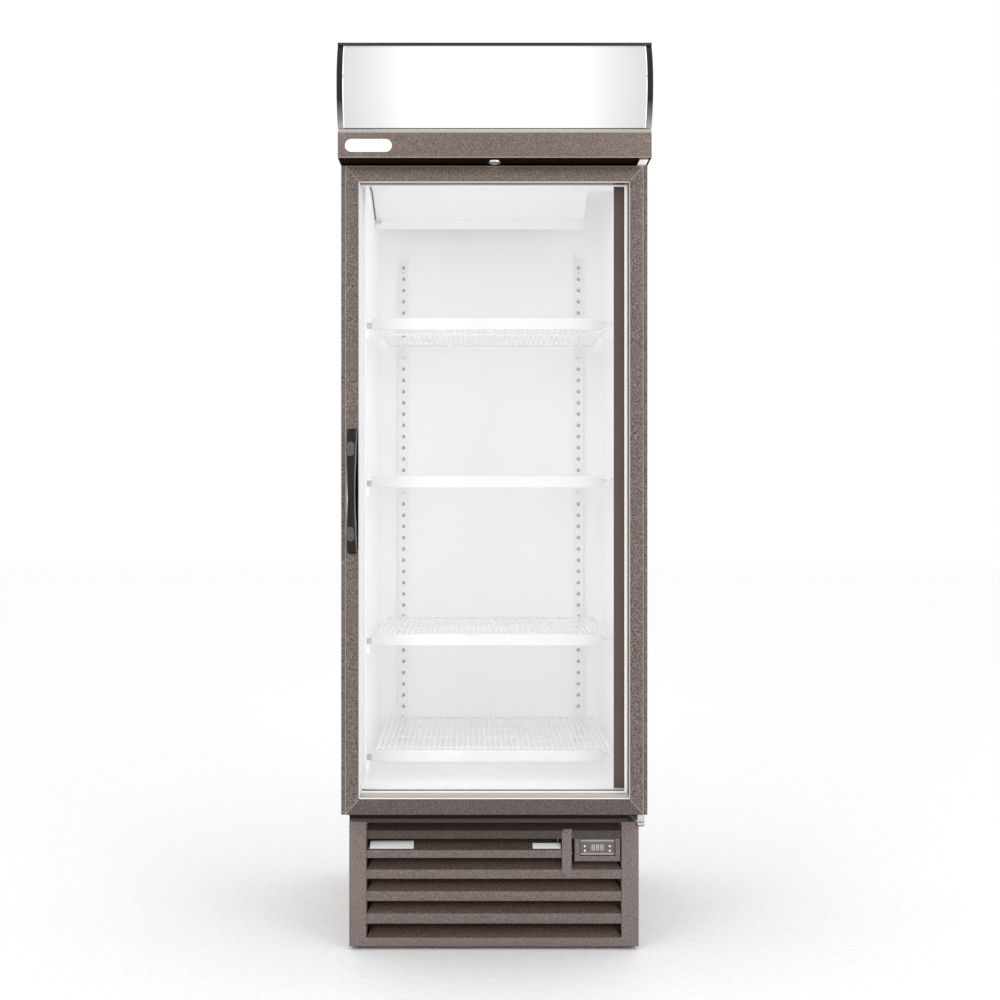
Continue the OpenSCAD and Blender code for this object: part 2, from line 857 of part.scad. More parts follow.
module door_rails() {
    color("dimgray") {
        rail(door_top, open_top);
        rail(door_low, open_low);
    }
}

// Rear bead that holds the glass unit, wider at the right and bottom, and a thin front bead
module glazing_bead() {
    y0 = inner_pane + pane_t;
    y1 = y0 + 10;
    f0 = outer_pane - 3;
    f1 = outer_pane;
    h = open_half;
    color("ivory") {
        slab(-h, -h + 4, y0, y1, open_low, open_top);
        slab(h - 8, h, y0, y1, open_low, open_top);
        slab(-h + 4, h - 8, y0, y1, open_low, open_low + 9);
        slab(-h + 4, h - 8, y0, y1, open_top - 3, open_top);
        slab(-h, -h + 2, f0, f1, open_low, open_top);
        slab(h - 2, h, f0, f1, open_low, open_top);
        slab(-h + 2, h - 2, f0, f1, open_low, open_low + 2);
        slab(-h + 2, h - 2, f0, f1, open_top - 2, open_top);
    }
}

module glass_panes() {
    color("lightcyan", 0.3) for (y = [outer_pane, inner_pane])
        slab(-open_half, open_half, y, y + pane_t, open_low, open_top);
}

module glass_spacer() {
    y0 = outer_pane + pane_t;
    h = open_half;
    color("silver") {
        slab(-h, -h + 2, y0, inner_pane, open_low, open_top);
        slab(h - 3.5, h, y0, inner_pane, open_low, open_top);
        slab(-h + 2, h - 3.5, y0, inner_pane, open_low, open_low + 8);
        slab(-h + 2, h - 3.5, y0, inner_pane, open_top - 2, open_top);
    }
}

module gasket() {
    outer = hinge_x - 12;
    inner = outer - 14;
    low = door_low + 8;
    high = door_top - 8;
    y1 = front_y - 0.3;
    color("dimgray") {
        both_sides() slab(inner, outer, door_back, y1, low, high);
        slab(-inner, inner, door_back, y1, low, low + 18);
        slab(-inner, inner, door_back, y1, high - 18, high);
    }
}

// ---------- handle ----------

handle_x = -(door_half - 24);
handle_z = 992;
cap_dz = 89.5;
cap_r = 8;
cap_l = 31;
bow = handle_out - handle_end;
bow_r = (handle_l * handle_l / 4 + bow * bow) / (2 * bow);
grip_l = 150;
grip_gap = 28;
grip_r = (grip_l * grip_l / 4 + grip_gap * grip_gap) / (2 * grip_gap);

// Oval outline of a screw cap
module cap_outline() {
    for (s = [-1, 1]) translate([handle_x, s * (cap_l / 2 - cap_r)]) circle(r = cap_r, $fn = 48);
    translate([handle_x - cap_r, -cap_l / 2 + cap_r]) square([2 * cap_r, cap_l - 2 * cap_r]);
}

module cap_at(s, y0, y1) {
    translate([0, 0, handle_z + s * cap_dz]) along_y(y0, y1) cap_outline();
}

module handle() {
    face = door_front - handle_end;
    base_t = 1.2;
    base_half = handle_l / 2 - 4;
    color("black") {
        difference() {
            along_x(handle_x - handle_w / 2, handle_x + handle_w / 2) difference() {
                intersection() {
                    translate([door_front - handle_out + bow_r, handle_z]) circle(r = bow_r, $fn = 180);
                    translate([door_front - handle_out - 1, handle_z - handle_l / 2])
                        square([handle_out + 1, handle_l]);
                }
                translate([door_front - grip_gap + grip_r, handle_z]) circle(r = grip_r, $fn = 180);
            }
            for (s = [-1, 1]) cap_at(s, door_front - handle_out, face - 6);
        }
        slab(
            handle_x - 10, -open_half - 0.4, door_front - base_t, door_front,
            handle_z - base_half, handle_z + base_half
        );
    }
}

module handle_caps() {
    face = door_front - handle_end;
    color("gray") for (s = [-1, 1]) cap_at(s, face - 16, face - 6);
}

module hinge_bushes() {
    color("white") for (z = [door_low, door_top - bush_l])
        translate([hinge_x, hinge_y, z]) difference() {
            cylinder(h = bush_l, r = bush_r, $fn = 64);
            translate([0, 0, -1]) cylinder(h = bush_l + 2, r = pin_r + running, $fn = 64);
        }
}

side_panels();
back_panel();
top_panel();
underside_panel();
front_frame();
insulation();
inner_liner();
pilasters();
shelf_clips();
shelf_1();
shelf_2();
shelf_3();
shelf_4();
price_rails();
evaporator_cover();
evaporator_coil();
evaporator_fan();
drip_tray();
fan_motors();
lamp_channel();
lamp_diffuser();
led_tubes();
canopy_housing();
canopy_ends();
sign_panel();
fascia();
label_plates();
base_pan();
levelling_feet();
grille_frame();
grille_louvres();
thermostat_bezel();
thermostat_body();
thermostat_display();
button_set();
button_power();
button_up();
button_down();
compressor();
condenser();
condenser_fan();
refrigerant_pipes();
filter_drier();
electrical_box();
condensate_tray();
rear_guard();
cable_gland();
hinge_brackets();
lock_body();
lock_plunger();
lock_plug();
door_stiles();
door_rails();
glazing_bead();
glass_panes();
glass_spacer();
gasket();
handle();
handle_caps();
hinge_bushes();
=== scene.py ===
"""Looks of an upright glass-door display refrigerator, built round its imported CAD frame. Metres."""
import json
import math

import bmesh
import bpy
from mathutils import Matrix, Vector


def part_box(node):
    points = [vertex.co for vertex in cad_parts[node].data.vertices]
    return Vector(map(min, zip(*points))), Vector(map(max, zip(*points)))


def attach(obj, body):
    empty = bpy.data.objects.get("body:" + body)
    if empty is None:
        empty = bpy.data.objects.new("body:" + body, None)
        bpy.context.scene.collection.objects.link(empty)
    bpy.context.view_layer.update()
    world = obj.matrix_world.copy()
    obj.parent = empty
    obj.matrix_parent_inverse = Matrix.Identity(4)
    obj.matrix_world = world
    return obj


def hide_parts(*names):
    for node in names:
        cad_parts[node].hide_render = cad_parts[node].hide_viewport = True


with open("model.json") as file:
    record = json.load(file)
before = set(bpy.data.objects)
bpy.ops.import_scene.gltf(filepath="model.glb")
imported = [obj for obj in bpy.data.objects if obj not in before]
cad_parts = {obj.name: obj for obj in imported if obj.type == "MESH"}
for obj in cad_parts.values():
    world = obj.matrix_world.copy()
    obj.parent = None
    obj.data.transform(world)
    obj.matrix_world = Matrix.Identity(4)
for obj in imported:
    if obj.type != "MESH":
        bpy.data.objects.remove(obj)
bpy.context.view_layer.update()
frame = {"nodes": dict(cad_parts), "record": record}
MM = 0.001


# ---------- places, worked out from the frame ----------

def span(node):
    """Lowest and highest corner of a CAD node."""
    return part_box(node)


STILE = span("door_stiles")
PANE = span("glass_panes")
DOOR_X = STILE[1].x
DOOR_LOW = STILE[0].z
DOOR_TOP = STILE[1].z
DOOR_FRONT = STILE[0].y
DOOR_BACK = STILE[1].y
OPEN_X = PANE[1].x
OPEN_LOW = PANE[0].z
OPEN_TOP = PANE[1].z
ROOM_LOW = 0.35
ROOM_HIGH = 1.75
CASE = span("side_panels")
FRONT = CASE[0].y
LINER = span("inner_liner")
SIGN = span("sign_panel")
FASCIA = span("fascia")

# Posts at the side walls and uprights on the rear wall are one node; the uprights' middle is at 226 mm
UPRIGHTS = span("pilasters")
POST_EDGE = UPRIGHTS[1].x
UPRIGHT_X = 226 * MM

REAR_WALL = LINER[1].y - 2 * MM
SLOTS = {part["node"]: part["material_slot"] for part in frame["record"]["subparts"]}


# ---------- camera, lights, floor ----------

CAMERA_BACK = 2.8
CAMERA_X = -0.041
CAMERA_Z = 0.995
LENS = 47.6
SHIFT_X = 0.025
SHIFT_Y = -0.010

# Name, place, aim, width and height, watts. The three cabinet lights help the cabinet's own lamp.
LIGHTS = [
    ("key_left", (-2.4, -3.4, 2.6), (0, 0, 1.1), (1.6, 2.4), 26),
    ("key_right", (2.6, -3.2, 2.4), (0, 0, 1.1), (1.6, 2.4), 30),
    ("cabinet_front", (0, -0.215, 0.98), (0, 0.5, 0.98), (0.52, 1.24), 0.22),
    ("cabinet_top", (0, -0.2, 1.5), (0, 0.3, 1.56), (0.5, 0.24), 0.1),
    ("cabinet_left", (-0.1, -0.2, 1.0), (-0.286, 0.1, 1.0), (0.2, 1.2), 0.08),
]


def make_camera():
    """A level camera in front of the door, aimed straight along +Y."""
    cam = bpy.data.objects.new("camera", bpy.data.cameras.new("camera"))
    bpy.context.collection.objects.link(cam)
    cam.location = (CAMERA_X, DOOR_FRONT - CAMERA_BACK, CAMERA_Z)
    cam.rotation_euler = (math.pi / 2, 0, 0)
    cam.data.sensor_width = 36
    cam.data.lens = LENS
    cam.data.shift_x = SHIFT_X
    cam.data.shift_y = SHIFT_Y
    cam.data.clip_end = 60
    bpy.context.scene.camera = cam


def area_light(name, place, target, size, power):
    """A soft rectangular light aimed at a point."""
    data = bpy.data.lights.new(name, "AREA")
    data.shape = "RECTANGLE"
    data.size, data.size_y = size
    data.energy = power
    light = bpy.data.objects.new(name, data)
    bpy.context.collection.objects.link(light)
    light.location = place
    light.rotation_euler = (Vector(target) - Vector(place)).to_track_quat("-Z", "Y").to_euler()


def make_studio():
    """White surroundings, soft lights and a pale floor."""
    world = bpy.data.worlds.new("studio")
    bpy.context.scene.world = world
    world.use_nodes = True
    sky = world.node_tree.nodes["Background"]
    sky.inputs["Color"].default_value = (1, 1, 1, 1)
    sky.inputs["Strength"].default_value = 1.0
    for light in LIGHTS:
        area_light(*light)
    bpy.context.scene.view_settings.view_transform = "Standard"
    bm = bmesh.new()
    bmesh.ops.create_grid(bm, x_segments=8, y_segments=8, size=14)
    floor = new_object("floor", bm, plain("floor_paper", (0.985, 0.985, 0.985), 0.9))


# ---------- materials ----------

def shader(name):
    """A new material, its tree and its Principled shader."""
    m = bpy.data.materials.new(name)
    m.use_nodes = True
    tree = m.node_tree
    return m, tree, tree.nodes["Principled BSDF"]


def object_coords(tree, scale):
    """Object coordinates, stretched along each axis."""
    coords = tree.nodes.new("ShaderNodeTexCoord")
    mapping = tree.nodes.new("ShaderNodeMapping")
    mapping.inputs["Scale"].default_value = scale
    tree.links.new(coords.outputs["Object"], mapping.inputs["Vector"])
    return mapping.outputs["Vector"]


def noise(tree, scale, detail=2.0, rough=0.5, distortion=0.0, stretch=(1, 1, 1)):
    """Noise in object coordinates, features about one over the scale in metres."""
    n = tree.nodes.new("ShaderNodeTexNoise")
    n.inputs["Scale"].default_value = scale
    n.inputs["Detail"].default_value = detail
    n.inputs["Roughness"].default_value = rough
    n.inputs["Distortion"].default_value = distortion
    tree.links.new(object_coords(tree, stretch), n.inputs["Vector"])
    return n.outputs["Fac"]


def ramp(tree, fac, stops):
    """Turns a value into a colour by stops of position and colour."""
    r = tree.nodes.new("ShaderNodeValToRGB")
    while len(r.color_ramp.elements) < len(stops):
        r.color_ramp.elements.new(0.5)
    for e, (at, colour) in zip(r.color_ramp.elements, stops):
        e.position = at
        e.color = (*colour, 1)
    tree.links.new(fac, r.inputs["Fac"])
    return r.outputs["Color"]


def grey(v):
    """A colour without hue."""
    return (v, v, v)


def bump(tree, bsdf, height, strength, distance):
    """Fine relief from a height value; the distance is its depth in metres."""
    b = tree.nodes.new("ShaderNodeBump")
    b.inputs["Strength"].default_value = strength
    b.inputs["Distance"].default_value = distance
    tree.links.new(height, b.inputs["Height"])
    tree.links.new(b.outputs["Normal"], bsdf.inputs["Normal"])


def plain(name, colour, rough, metal=0.0, vary=0.04, scale=60, bumps=0.05, depth=0.0002, coat=0.0, spec=0.5,
          lit=0.0):
    """A moulded, painted or plated surface: slight colour and roughness variation and a fine bump."""
    m, tree, bsdf = shader(name)
    broad = noise(tree, scale, 3)
    low = tuple(c * (1 - vary) for c in colour)
    high = tuple(min(1, c * (1 + vary)) for c in colour)
    tree.links.new(ramp(tree, broad, [(0.3, low), (0.7, high)]), bsdf.inputs["Base Color"])
    fine = noise(tree, scale * 7, 2)
    tree.links.new(
        ramp(tree, fine, [(0.25, grey(rough * 0.85)), (0.75, grey(min(1, rough * 1.15)))]),
        bsdf.inputs["Roughness"],
    )
    bsdf.inputs["Metallic"].default_value = metal
    bsdf.inputs["Specular IOR Level"].default_value = spec
    # A lit surface gets a painted glow in its own colour, though it is no lamp
    if lit:
        bsdf.inputs["Emission Color"].default_value = (*colour, 1)
        bsdf.inputs["Emission Strength"].default_value = lit
    if coat:
        bsdf.inputs["Coat Weight"].default_value = coat
        bsdf.inputs["Coat Roughness"].default_value = 0.05
    bump(tree, bsdf, fine, bumps, depth)
    return m


def hammertone(name, tint=1.0, size=1.0, contrast=1.0, colour=(0.136, 0.108, 0.098)):
    """Brown-grey hammer finish: small worm-like pools with lighter rims."""
    m, tree, bsdf = shader(name)
    pools = noise(tree, 340 * size, 3, 0.65, 0.9)
    mid = Vector(colour) * tint
    dark = mid * (1 - 0.6 * contrast)
    light = mid * (1 + 1.25 * contrast)
    tree.links.new(
        ramp(tree, pools, [(0.39, dark), (0.5, mid), (0.62, light)]), bsdf.inputs["Base Color"]
    )
    tree.links.new(
        ramp(tree, pools, [(0.35, grey(0.5)), (0.65, grey(0.33))]), bsdf.inputs["Roughness"]
    )
    bsdf.inputs["Metallic"].default_value = 0.2
    bump(tree, bsdf, pools, 0.25, 0.0004)
    return m


def height_blend(tree, low, high, stops):
    """A colour that changes with height between two heights in metres."""
    coords = tree.nodes.new("ShaderNodeTexCoord")
    parts = tree.nodes.new("ShaderNodeSeparateXYZ")
    tree.links.new(coords.outputs["Object"], parts.inputs["Vector"])
    level = tree.nodes.new("ShaderNodeMapRange")
    level.inputs["From Min"].default_value = low
    level.inputs["From Max"].default_value = high
    tree.links.new(parts.outputs["Z"], level.inputs["Value"])
    return ramp(tree, level.outputs["Result"], stops)


def frame_paint(name, low, high, stops):
    """Hammer finish whose tone changes with height: apron in painted shade, a painted black shadow gap, pale
    sill, then the flange.
    """
    m, tree, bsdf = shader(name)
    pools = noise(tree, 440, 3, 0.65, 0.9)
    grain = ramp(tree, pools, [(0.36, grey(0.62)), (0.64, grey(1.0))])
    mix = tree.nodes.new("ShaderNodeMix")
    mix.data_type = "RGBA"
    mix.blend_type = "MULTIPLY"
    mix.inputs["Factor"].default_value = 1.0
    tree.links.new(height_blend(tree, low, high, stops), mix.inputs["A"])
    tree.links.new(grain, mix.inputs["B"])
    tree.links.new(mix.outputs["Result"], bsdf.inputs["Base Color"])
    tree.links.new(ramp(tree, pools, [(0.35, grey(0.55)), (0.65, grey(0.4))]), bsdf.inputs["Roughness"])
    bsdf.inputs["Specular IOR Level"].default_value = 0.15
    bump(tree, bsdf, pools, 0.2, 0.0003)
    return m


def liner_with_painted_glow(name):
    """Enamelled liner with a painted glow for its lamp's light: a little brighter near the ceiling."""
    m, tree, bsdf = shader(name)
    cloud = noise(tree, 9, 3)
    tree.links.new(
        ramp(tree, cloud, [(0.3, (0.87, 0.87, 0.875)), (0.7, (0.89, 0.89, 0.892))]), bsdf.inputs["Base Color"]
    )
    fine = noise(tree, 60, 2)
    tree.links.new(ramp(tree, fine, [(0.25, grey(0.4)), (0.75, grey(0.5))]), bsdf.inputs["Roughness"])
    # Painted glow: emission over the liner, stronger near the ceiling, standing for the lamp's light
    painted_glow_stops = [(0.0, grey(0.12)), (0.7, grey(0.12)), (0.88, grey(0.15)), (1.0, grey(0.15))]
    tree.links.new(height_blend(tree, ROOM_LOW, ROOM_HIGH, painted_glow_stops), bsdf.inputs["Emission Color"])
    bsdf.inputs["Emission Strength"].default_value = 1.0
    bump(tree, bsdf, fine, 0.02, 0.0002)
    return m


def trim_black_painted_reflection(name, low, high):
    """Gloss-black moulding with a painted reflection that turns it grey towards its lower end."""
    m, tree, bsdf = shader(name)
    black = (0.012, 0.009, 0.008)
    stops = [(0.0, (0.34, 0.32, 0.30)), (0.35, (0.16, 0.15, 0.14)), (1.0, black)]
    tree.links.new(height_blend(tree, low, high, stops), bsdf.inputs["Base Color"])
    fine = noise(tree, 300, 2)
    tree.links.new(ramp(tree, fine, [(0.3, grey(0.2)), (0.7, grey(0.26))]), bsdf.inputs["Roughness"])
    bsdf.inputs["Specular IOR Level"].default_value = 0.25
    bump(tree, bsdf, fine, 0.03, 0.0001)
    return m


def lip_painted_light(name, low, high):
    """The slope below the sign with painted light from the sign: palest at its upper edge."""
    m, tree, bsdf = shader(name)
    stops = [(0.0, (0.3, 0.265, 0.24)), (0.5, (0.5, 0.47, 0.44)), (1.0, (0.7, 0.67, 0.64))]
    tree.links.new(height_blend(tree, low, high, stops), bsdf.inputs["Base Color"])
    pools = noise(tree, 500, 3, 0.6, 0.6)
    tree.links.new(ramp(tree, pools, [(0.3, grey(0.5)), (0.7, grey(0.4))]), bsdf.inputs["Roughness"])
    bump(tree, bsdf, pools, 0.12, 0.0003)
    return m


def galvanised(name):
    """Zinc-coated sheet: angular crystals of slightly different grey."""
    m, tree, bsdf = shader(name)
    cells = tree.nodes.new("ShaderNodeTexVoronoi")
    cells.inputs["Scale"].default_value = 70
    tree.links.new(object_coords(tree, (1, 1, 1)), cells.inputs["Vector"])
    split = tree.nodes.new("ShaderNodeSeparateColor")
    tree.links.new(cells.outputs["Color"], split.inputs["Color"])
    tone = split.outputs[0]
    tree.links.new(
        ramp(tree, tone, [(0.0, (0.42, 0.43, 0.44)), (1.0, (0.60, 0.61, 0.62))]), bsdf.inputs["Base Color"]
    )
    tree.links.new(ramp(tree, tone, [(0.0, grey(0.35)), (1.0, grey(0.5))]), bsdf.inputs["Roughness"])
    bsdf.inputs["Metallic"].default_value = 0.85
    bump(tree, bsdf, tone, 0.08, 0.0002)
    return m


def brushed(name, colour, rough):
    """Rolled metal with fine level lines."""
    m, tree, bsdf = shader(name)
    lines = noise(tree, 40, 2, 0.5, 0, (1, 1, 60))
    low = tuple(c * 0.88 for c in colour)
    tree.links.new(ramp(tree, lines, [(0.3, low), (0.7, colour)]), bsdf.inputs["Base Color"])
    tree.links.new(
        ramp(tree, lines, [(0.3, grey(rough * 0.8)), (0.7, grey(rough * 1.2))]), bsdf.inputs["Roughness"]
    )
    bsdf.inputs["Metallic"].default_value = 1.0
    bump(tree, bsdf, lines, 0.06, 0.0001)
    return m


def clear_glass(name):
    """Almost invisible glass, because the one that it copies shows no reflections."""
    m, tree, bsdf = shader(name)
    smear = noise(tree, 9, 3)
    tree.links.new(ramp(tree, smear, [(0.3, grey(0.02)), (0.7, grey(0.05))]), bsdf.inputs["Roughness"])
    bsdf.inputs["Base Color"].default_value = (0.35, 0.4, 0.4, 1)
    bsdf.inputs["Alpha"].default_value = 0.005
    m.surface_render_method = "BLENDED"
    return m


def lit_sign(name):
    """Opal acrylic lit from behind: brightest in the middle, duller towards both ends."""
    m, tree, bsdf = shader(name)
    coords = tree.nodes.new("ShaderNodeTexCoord")
    parts = tree.nodes.new("ShaderNodeSeparateXYZ")
    tree.links.new(coords.outputs["Object"], parts.inputs["Vector"])
    away = tree.nodes.new("ShaderNodeMath")
    away.operation = "ABSOLUTE"
    tree.links.new(parts.outputs["X"], away.inputs[0])
    scaled = tree.nodes.new("ShaderNodeMath")
    scaled.operation = "MULTIPLY"
    scaled.inputs[1].default_value = 1 / SIGN[1].x
    tree.links.new(away.outputs[0], scaled.inputs[0])
    glow = ramp(
        tree, scaled.outputs[0],
        [
            (0.5, (0.66, 0.66, 0.655)), (0.62, (0.61, 0.61, 0.61)), (0.76, (0.5, 0.495, 0.5)),
            (0.92, (0.40, 0.395, 0.40)), (1.0, (0.35, 0.345, 0.35)),
        ],
    )
    tree.links.new(glow, bsdf.inputs["Emission Color"])
    bsdf.inputs["Emission Strength"].default_value = 1.0
    cloud = noise(tree, 14, 2)
    tree.links.new(
        ramp(tree, cloud, [(0.3, (0.29, 0.29, 0.29)), (0.7, (0.3, 0.3, 0.3))]), bsdf.inputs["Base Color"]
    )
    bsdf.inputs["Roughness"].default_value = 0.22
    return m


def glow(name, colour, strength):
    """A pale plastic lit from behind."""
    m, tree, bsdf = shader(name)
    faint = noise(tree, 30, 2)
    low = tuple(c * 0.97 for c in colour)
    tree.links.new(ramp(tree, faint, [(0.3, low), (0.7, colour)]), bsdf.inputs["Base Color"])
    bsdf.inputs["Emission Color"].default_value = (*colour, 1)
    bsdf.inputs["Emission Strength"].default_value = strength
    bsdf.inputs["Roughness"].default_value = 0.35
    return m


MAT = {
    "hammertone_paint": hammertone("hammertone", tint=0.86, size=1.15, contrast=1.3),
    # White enamel with a faint painted glow (lit), though it is no lamp
    "white_enamel": plain("white_enamel", (0.86, 0.86, 0.865), 0.4, vary=0.008, bumps=0.03, lit=0.1),
    "white_liner": liner_with_painted_glow("white_liner"),
    "white_plastic": plain("white_plastic", (0.9, 0.9, 0.9), 0.32, vary=0.012),
    "cream_plastic": plain("cream_plastic", (0.76, 0.73, 0.67), 0.45, vary=0.03),
    "black_plastic": plain("black_plastic", (0.018, 0.015, 0.013), 0.28, vary=0.2, bumps=0.12),
    "grey_plastic": plain("grey_plastic", (0.16, 0.14, 0.13), 0.5, vary=0.08, bumps=0.15),
    "foam": plain("foam", (0.8, 0.7, 0.42), 0.9, vary=0.1, scale=200, bumps=0.5, depth=0.001),
    "galvanised": galvanised("galvanised_sheet"),
    "zinc": plain("bright_zinc", (0.82, 0.82, 0.83), 0.16, metal=1.0, vary=0.05, bumps=0.03),
    "aluminium": brushed("aluminium", (0.72, 0.73, 0.74), 0.38),
    "black_steel": plain("black_enamel", (0.014, 0.014, 0.014), 0.35, vary=0.15, bumps=0.1),
    "copper": plain("copper_tube", (0.75, 0.36, 0.22), 0.3, metal=1.0, vary=0.1, scale=30),
    "brass": plain("turned_brass", (0.78, 0.6, 0.3), 0.25, metal=1.0, vary=0.05),
    "glass": clear_glass("clear_glass"),
    "opal_acrylic": glow("opal_acrylic", (0.8, 0.8, 0.8), 0.12),
    "display": plain("display_window", (0.17, 0.14, 0.14), 0.18, vary=0.05, coat=0.4),
    "gasket_rubber": plain("gasket_rubber", (0.035, 0.032, 0.03), 0.6, vary=0.1, bumps=0.15),
}
LIP_PAINTED_LIGHT = lip_painted_light("fascia_lip_painted_light", FASCIA[1].z - 10 * MM, FASCIA[1].z)
SHEET = hammertone("hammertone_sheet", tint=1.1, size=1.3, contrast=0.55)
FRAME_SHEET = hammertone("hammertone_frame", tint=1.3, size=1.3, contrast=0.5)
FASCIA_SHEET = hammertone("hammertone_fascia", size=1.3, contrast=0.7, colour=(0.140, 0.104, 0.087))
# Painted shade: the top lip of the grille, darker where the door shades it
SHADED_LIP = hammertone("hammertone_shaded", size=1.3, contrast=0.6, colour=(0.058, 0.042, 0.037))
# Painted shade: the door's bottom crosspiece drawn darker than the rest of the door
LOW_RAIL_PAINTED_SHADE = hammertone("hammertone_low_rail_painted_shade", size=1.2, contrast=0.75, colour=(0.088, 0.070, 0.067))
# Painted light: the door's top crosspiece drawn lighter than the rest of the door
TOP_RAIL_PAINTED_LIGHT = hammertone("hammertone_top_rail_painted_light", size=1.2, contrast=0.8, colour=(0.152, 0.115, 0.096))
# Painted shade: the louvre blades drawn darker than the lips in front of them
BLADE_PAINTED_SHADE = hammertone("hammertone_blade_painted_shade", size=1.3, contrast=0.7, colour=(0.105, 0.070, 0.056))
# Painted light: the top louvre blade drawn lighter, against the shade under the grille's top
TOP_BLADE_PAINTED_LIGHT = hammertone("hammertone_top_blade_painted_light", size=1.3, contrast=0.7, colour=(0.33, 0.24, 0.195))
# Painted highlight: pale lines where edges of the door and the fascia catch the light
EDGE_PAINTED_HIGHLIGHT = hammertone("hammertone_edge_painted_highlight", contrast=0.3, colour=(0.29, 0.27, 0.255))

# Tones of the front frame from the apron in painted shade, over a painted black shadow gap and the sill, up
# to the flange
APRON_PAINTED_SHADE = (0.105, 0.080, 0.069)
SHADOW_GAP_PAINTED_BLACK = (0.008, 0.005, 0.004)
BROWN = (0.165, 0.122, 0.104)
SILL = (0.9, 0.88, 0.86)
# A thin dark-blue line above the sill
DARK_BLUE_LINE = (0.12, 0.11, 0.2)
WHITE = (0.9, 0.9, 0.9)
FRAME_LOW = 0.276
FRAME_HIGH = 0.356
FLANGE = frame_paint(
    "frame_paint", FRAME_LOW, FRAME_HIGH,
    [
        (0.0, APRON_PAINTED_SHADE), (0.09, APRON_PAINTED_SHADE), (0.11, SHADOW_GAP_PAINTED_BLACK), (0.25, SHADOW_GAP_PAINTED_BLACK), (0.28, BROWN), (0.72, BROWN),
        (0.75, SILL), (0.84, SILL), (0.855, DARK_BLUE_LINE), (0.875, DARK_BLUE_LINE), (0.89, WHITE), (0.925, WHITE),
        (0.935, BROWN), (1.0, BROWN),
    ],
)

# Painted shade: near-black for the undersides of the fascia and the canopy housing
UNDERSIDE_PAINTED_SHADE = plain("underside_painted_shade", (0.013, 0.0045, 0.0032), 0.9, vary=0.3, scale=240, spec=0.02)
END_TRIM_PAINTED_REFLECTION = trim_black_painted_reflection("end_trim_painted_reflection", SIGN[0].z + 2 * MM, SIGN[0].z + 52 * MM)
CAP_BLACK = plain("cap_black", (0.02, 0.016, 0.014), 0.35, vary=0.15, bumps=0.08, spec=0.3)
SATIN_ZINC = plain("satin_zinc", (0.58, 0.57, 0.56), 0.24, metal=1.0, vary=0.08, bumps=0.05)
# Painted glow: pale, self-lit paint for the top hinge collar, which sits in shade
COLLAR_PAINTED_GLOW = plain("collar_painted_glow", (0.82, 0.82, 0.82), 0.25, vary=0.1, bumps=0.05, lit=0.25)
SPACER = plain("spacer_strip", (0.10, 0.10, 0.14), 0.35, metal=0.4, vary=0.1, scale=300, bumps=0.1)
SILL_SPACER = plain("sill_spacer", (0.52, 0.46, 0.44), 0.4, vary=0.06, scale=300, bumps=0.1)
# Painted glow: self-lit pale paint for stretches of the bead and spacer that sit in shade behind the glass
BEAD_PAINTED_GLOW = plain("bead_painted_glow", (0.88, 0.85, 0.8), 0.4, vary=0.02, lit=0.3)
PALE_BEAD_PAINTED_GLOW = plain("pale_bead_painted_glow", (0.86, 0.86, 0.85), 0.4, vary=0.02, lit=0.1)
HANDLE_FACE = plain("handle_face", (0.016, 0.011, 0.0095), 0.3, vary=0.2, bumps=0.12, spec=0.2)
# Painted highlight: pale paint for a streak of light on the handle's left front edge
HANDLE_GLINT = plain("handle_glint", (0.6, 0.59, 0.58), 0.25, vary=0.03, bumps=0.02)
# Near-black matt paint for painted shade: the handle's shadow and the hinge grooves
SHADE_BLACK = plain("shade_black", (0.004, 0.003, 0.003), 0.8, vary=0.2, spec=0.03)
STRIP_WHITE = plain("price_strip_white", (0.765, 0.76, 0.758), 0.35, vary=0.01)
CLIP_GREY = plain("clip_grey", (0.62, 0.61, 0.62), 0.4, vary=0.08)
# Painted shade inside the holes of the shelf uprights
HOLE_SHADE = plain("hole_shade", (0.3, 0.3, 0.32), 0.7, vary=0.1, scale=300)
# Painted shade: grey lines at the folds of the side posts
FOLD_SHADE = plain("fold_shade", (0.52, 0.52, 0.54), 0.6, vary=0.05, scale=200)
# Painted shade: dark blue for the shadow gap beside the evaporator cover
GAP_BLUE = plain("gap_blue", (0.1, 0.1, 0.15), 0.7, vary=0.1, scale=300, spec=0.1)
HANDLE_CAP = plain("handle_cap", (0.085, 0.07, 0.065), 0.5, vary=0.2, scale=200, bumps=0.3)
SMOKE_GREY = plain("smoke_grey", (0.3, 0.29, 0.31), 0.4, vary=0.1)
EDGE_WHITE = glow("sign_edge", (0.95, 0.95, 0.95), 0.4)
SIGN_MAT = lit_sign("lit_sign")
BLANK_PLATE = plain("blank_plate", (0.88, 0.88, 0.88), 0.3, vary=0.015)
SEAM = plain("mitre_seam", (0.62, 0.58, 0.53), 0.5, vary=0.15, scale=200)
SEGMENT = plain("display_segment", (0.62, 0.58, 0.58), 0.4, vary=0.03)
CONTROL = plain("control_face", (0.12, 0.105, 0.105), 0.3, vary=0.06)
CONTROL_BAR = plain("control_bar", (0.36, 0.33, 0.33), 0.3, vary=0.05)


def paint_cad():
    """Gives every CAD node the material of its slot."""
    for node, slot in SLOTS.items():
        obj = frame["nodes"][node]
        obj.data.materials.clear()
        obj.data.materials.append(MAT[slot])


# ---------- mesh helpers ----------

def new_object(name, bm, material):
    """Turns a finished bmesh into an object with one material."""
    mesh = bpy.data.meshes.new(name)
    bmesh.ops.recalc_face_normals(bm, faces=bm.faces)
    bm.to_mesh(mesh)
    bm.free()
    obj = bpy.data.objects.new(name, mesh)
    bpy.context.collection.objects.link(obj)
    mesh.materials.append(material)
    return obj


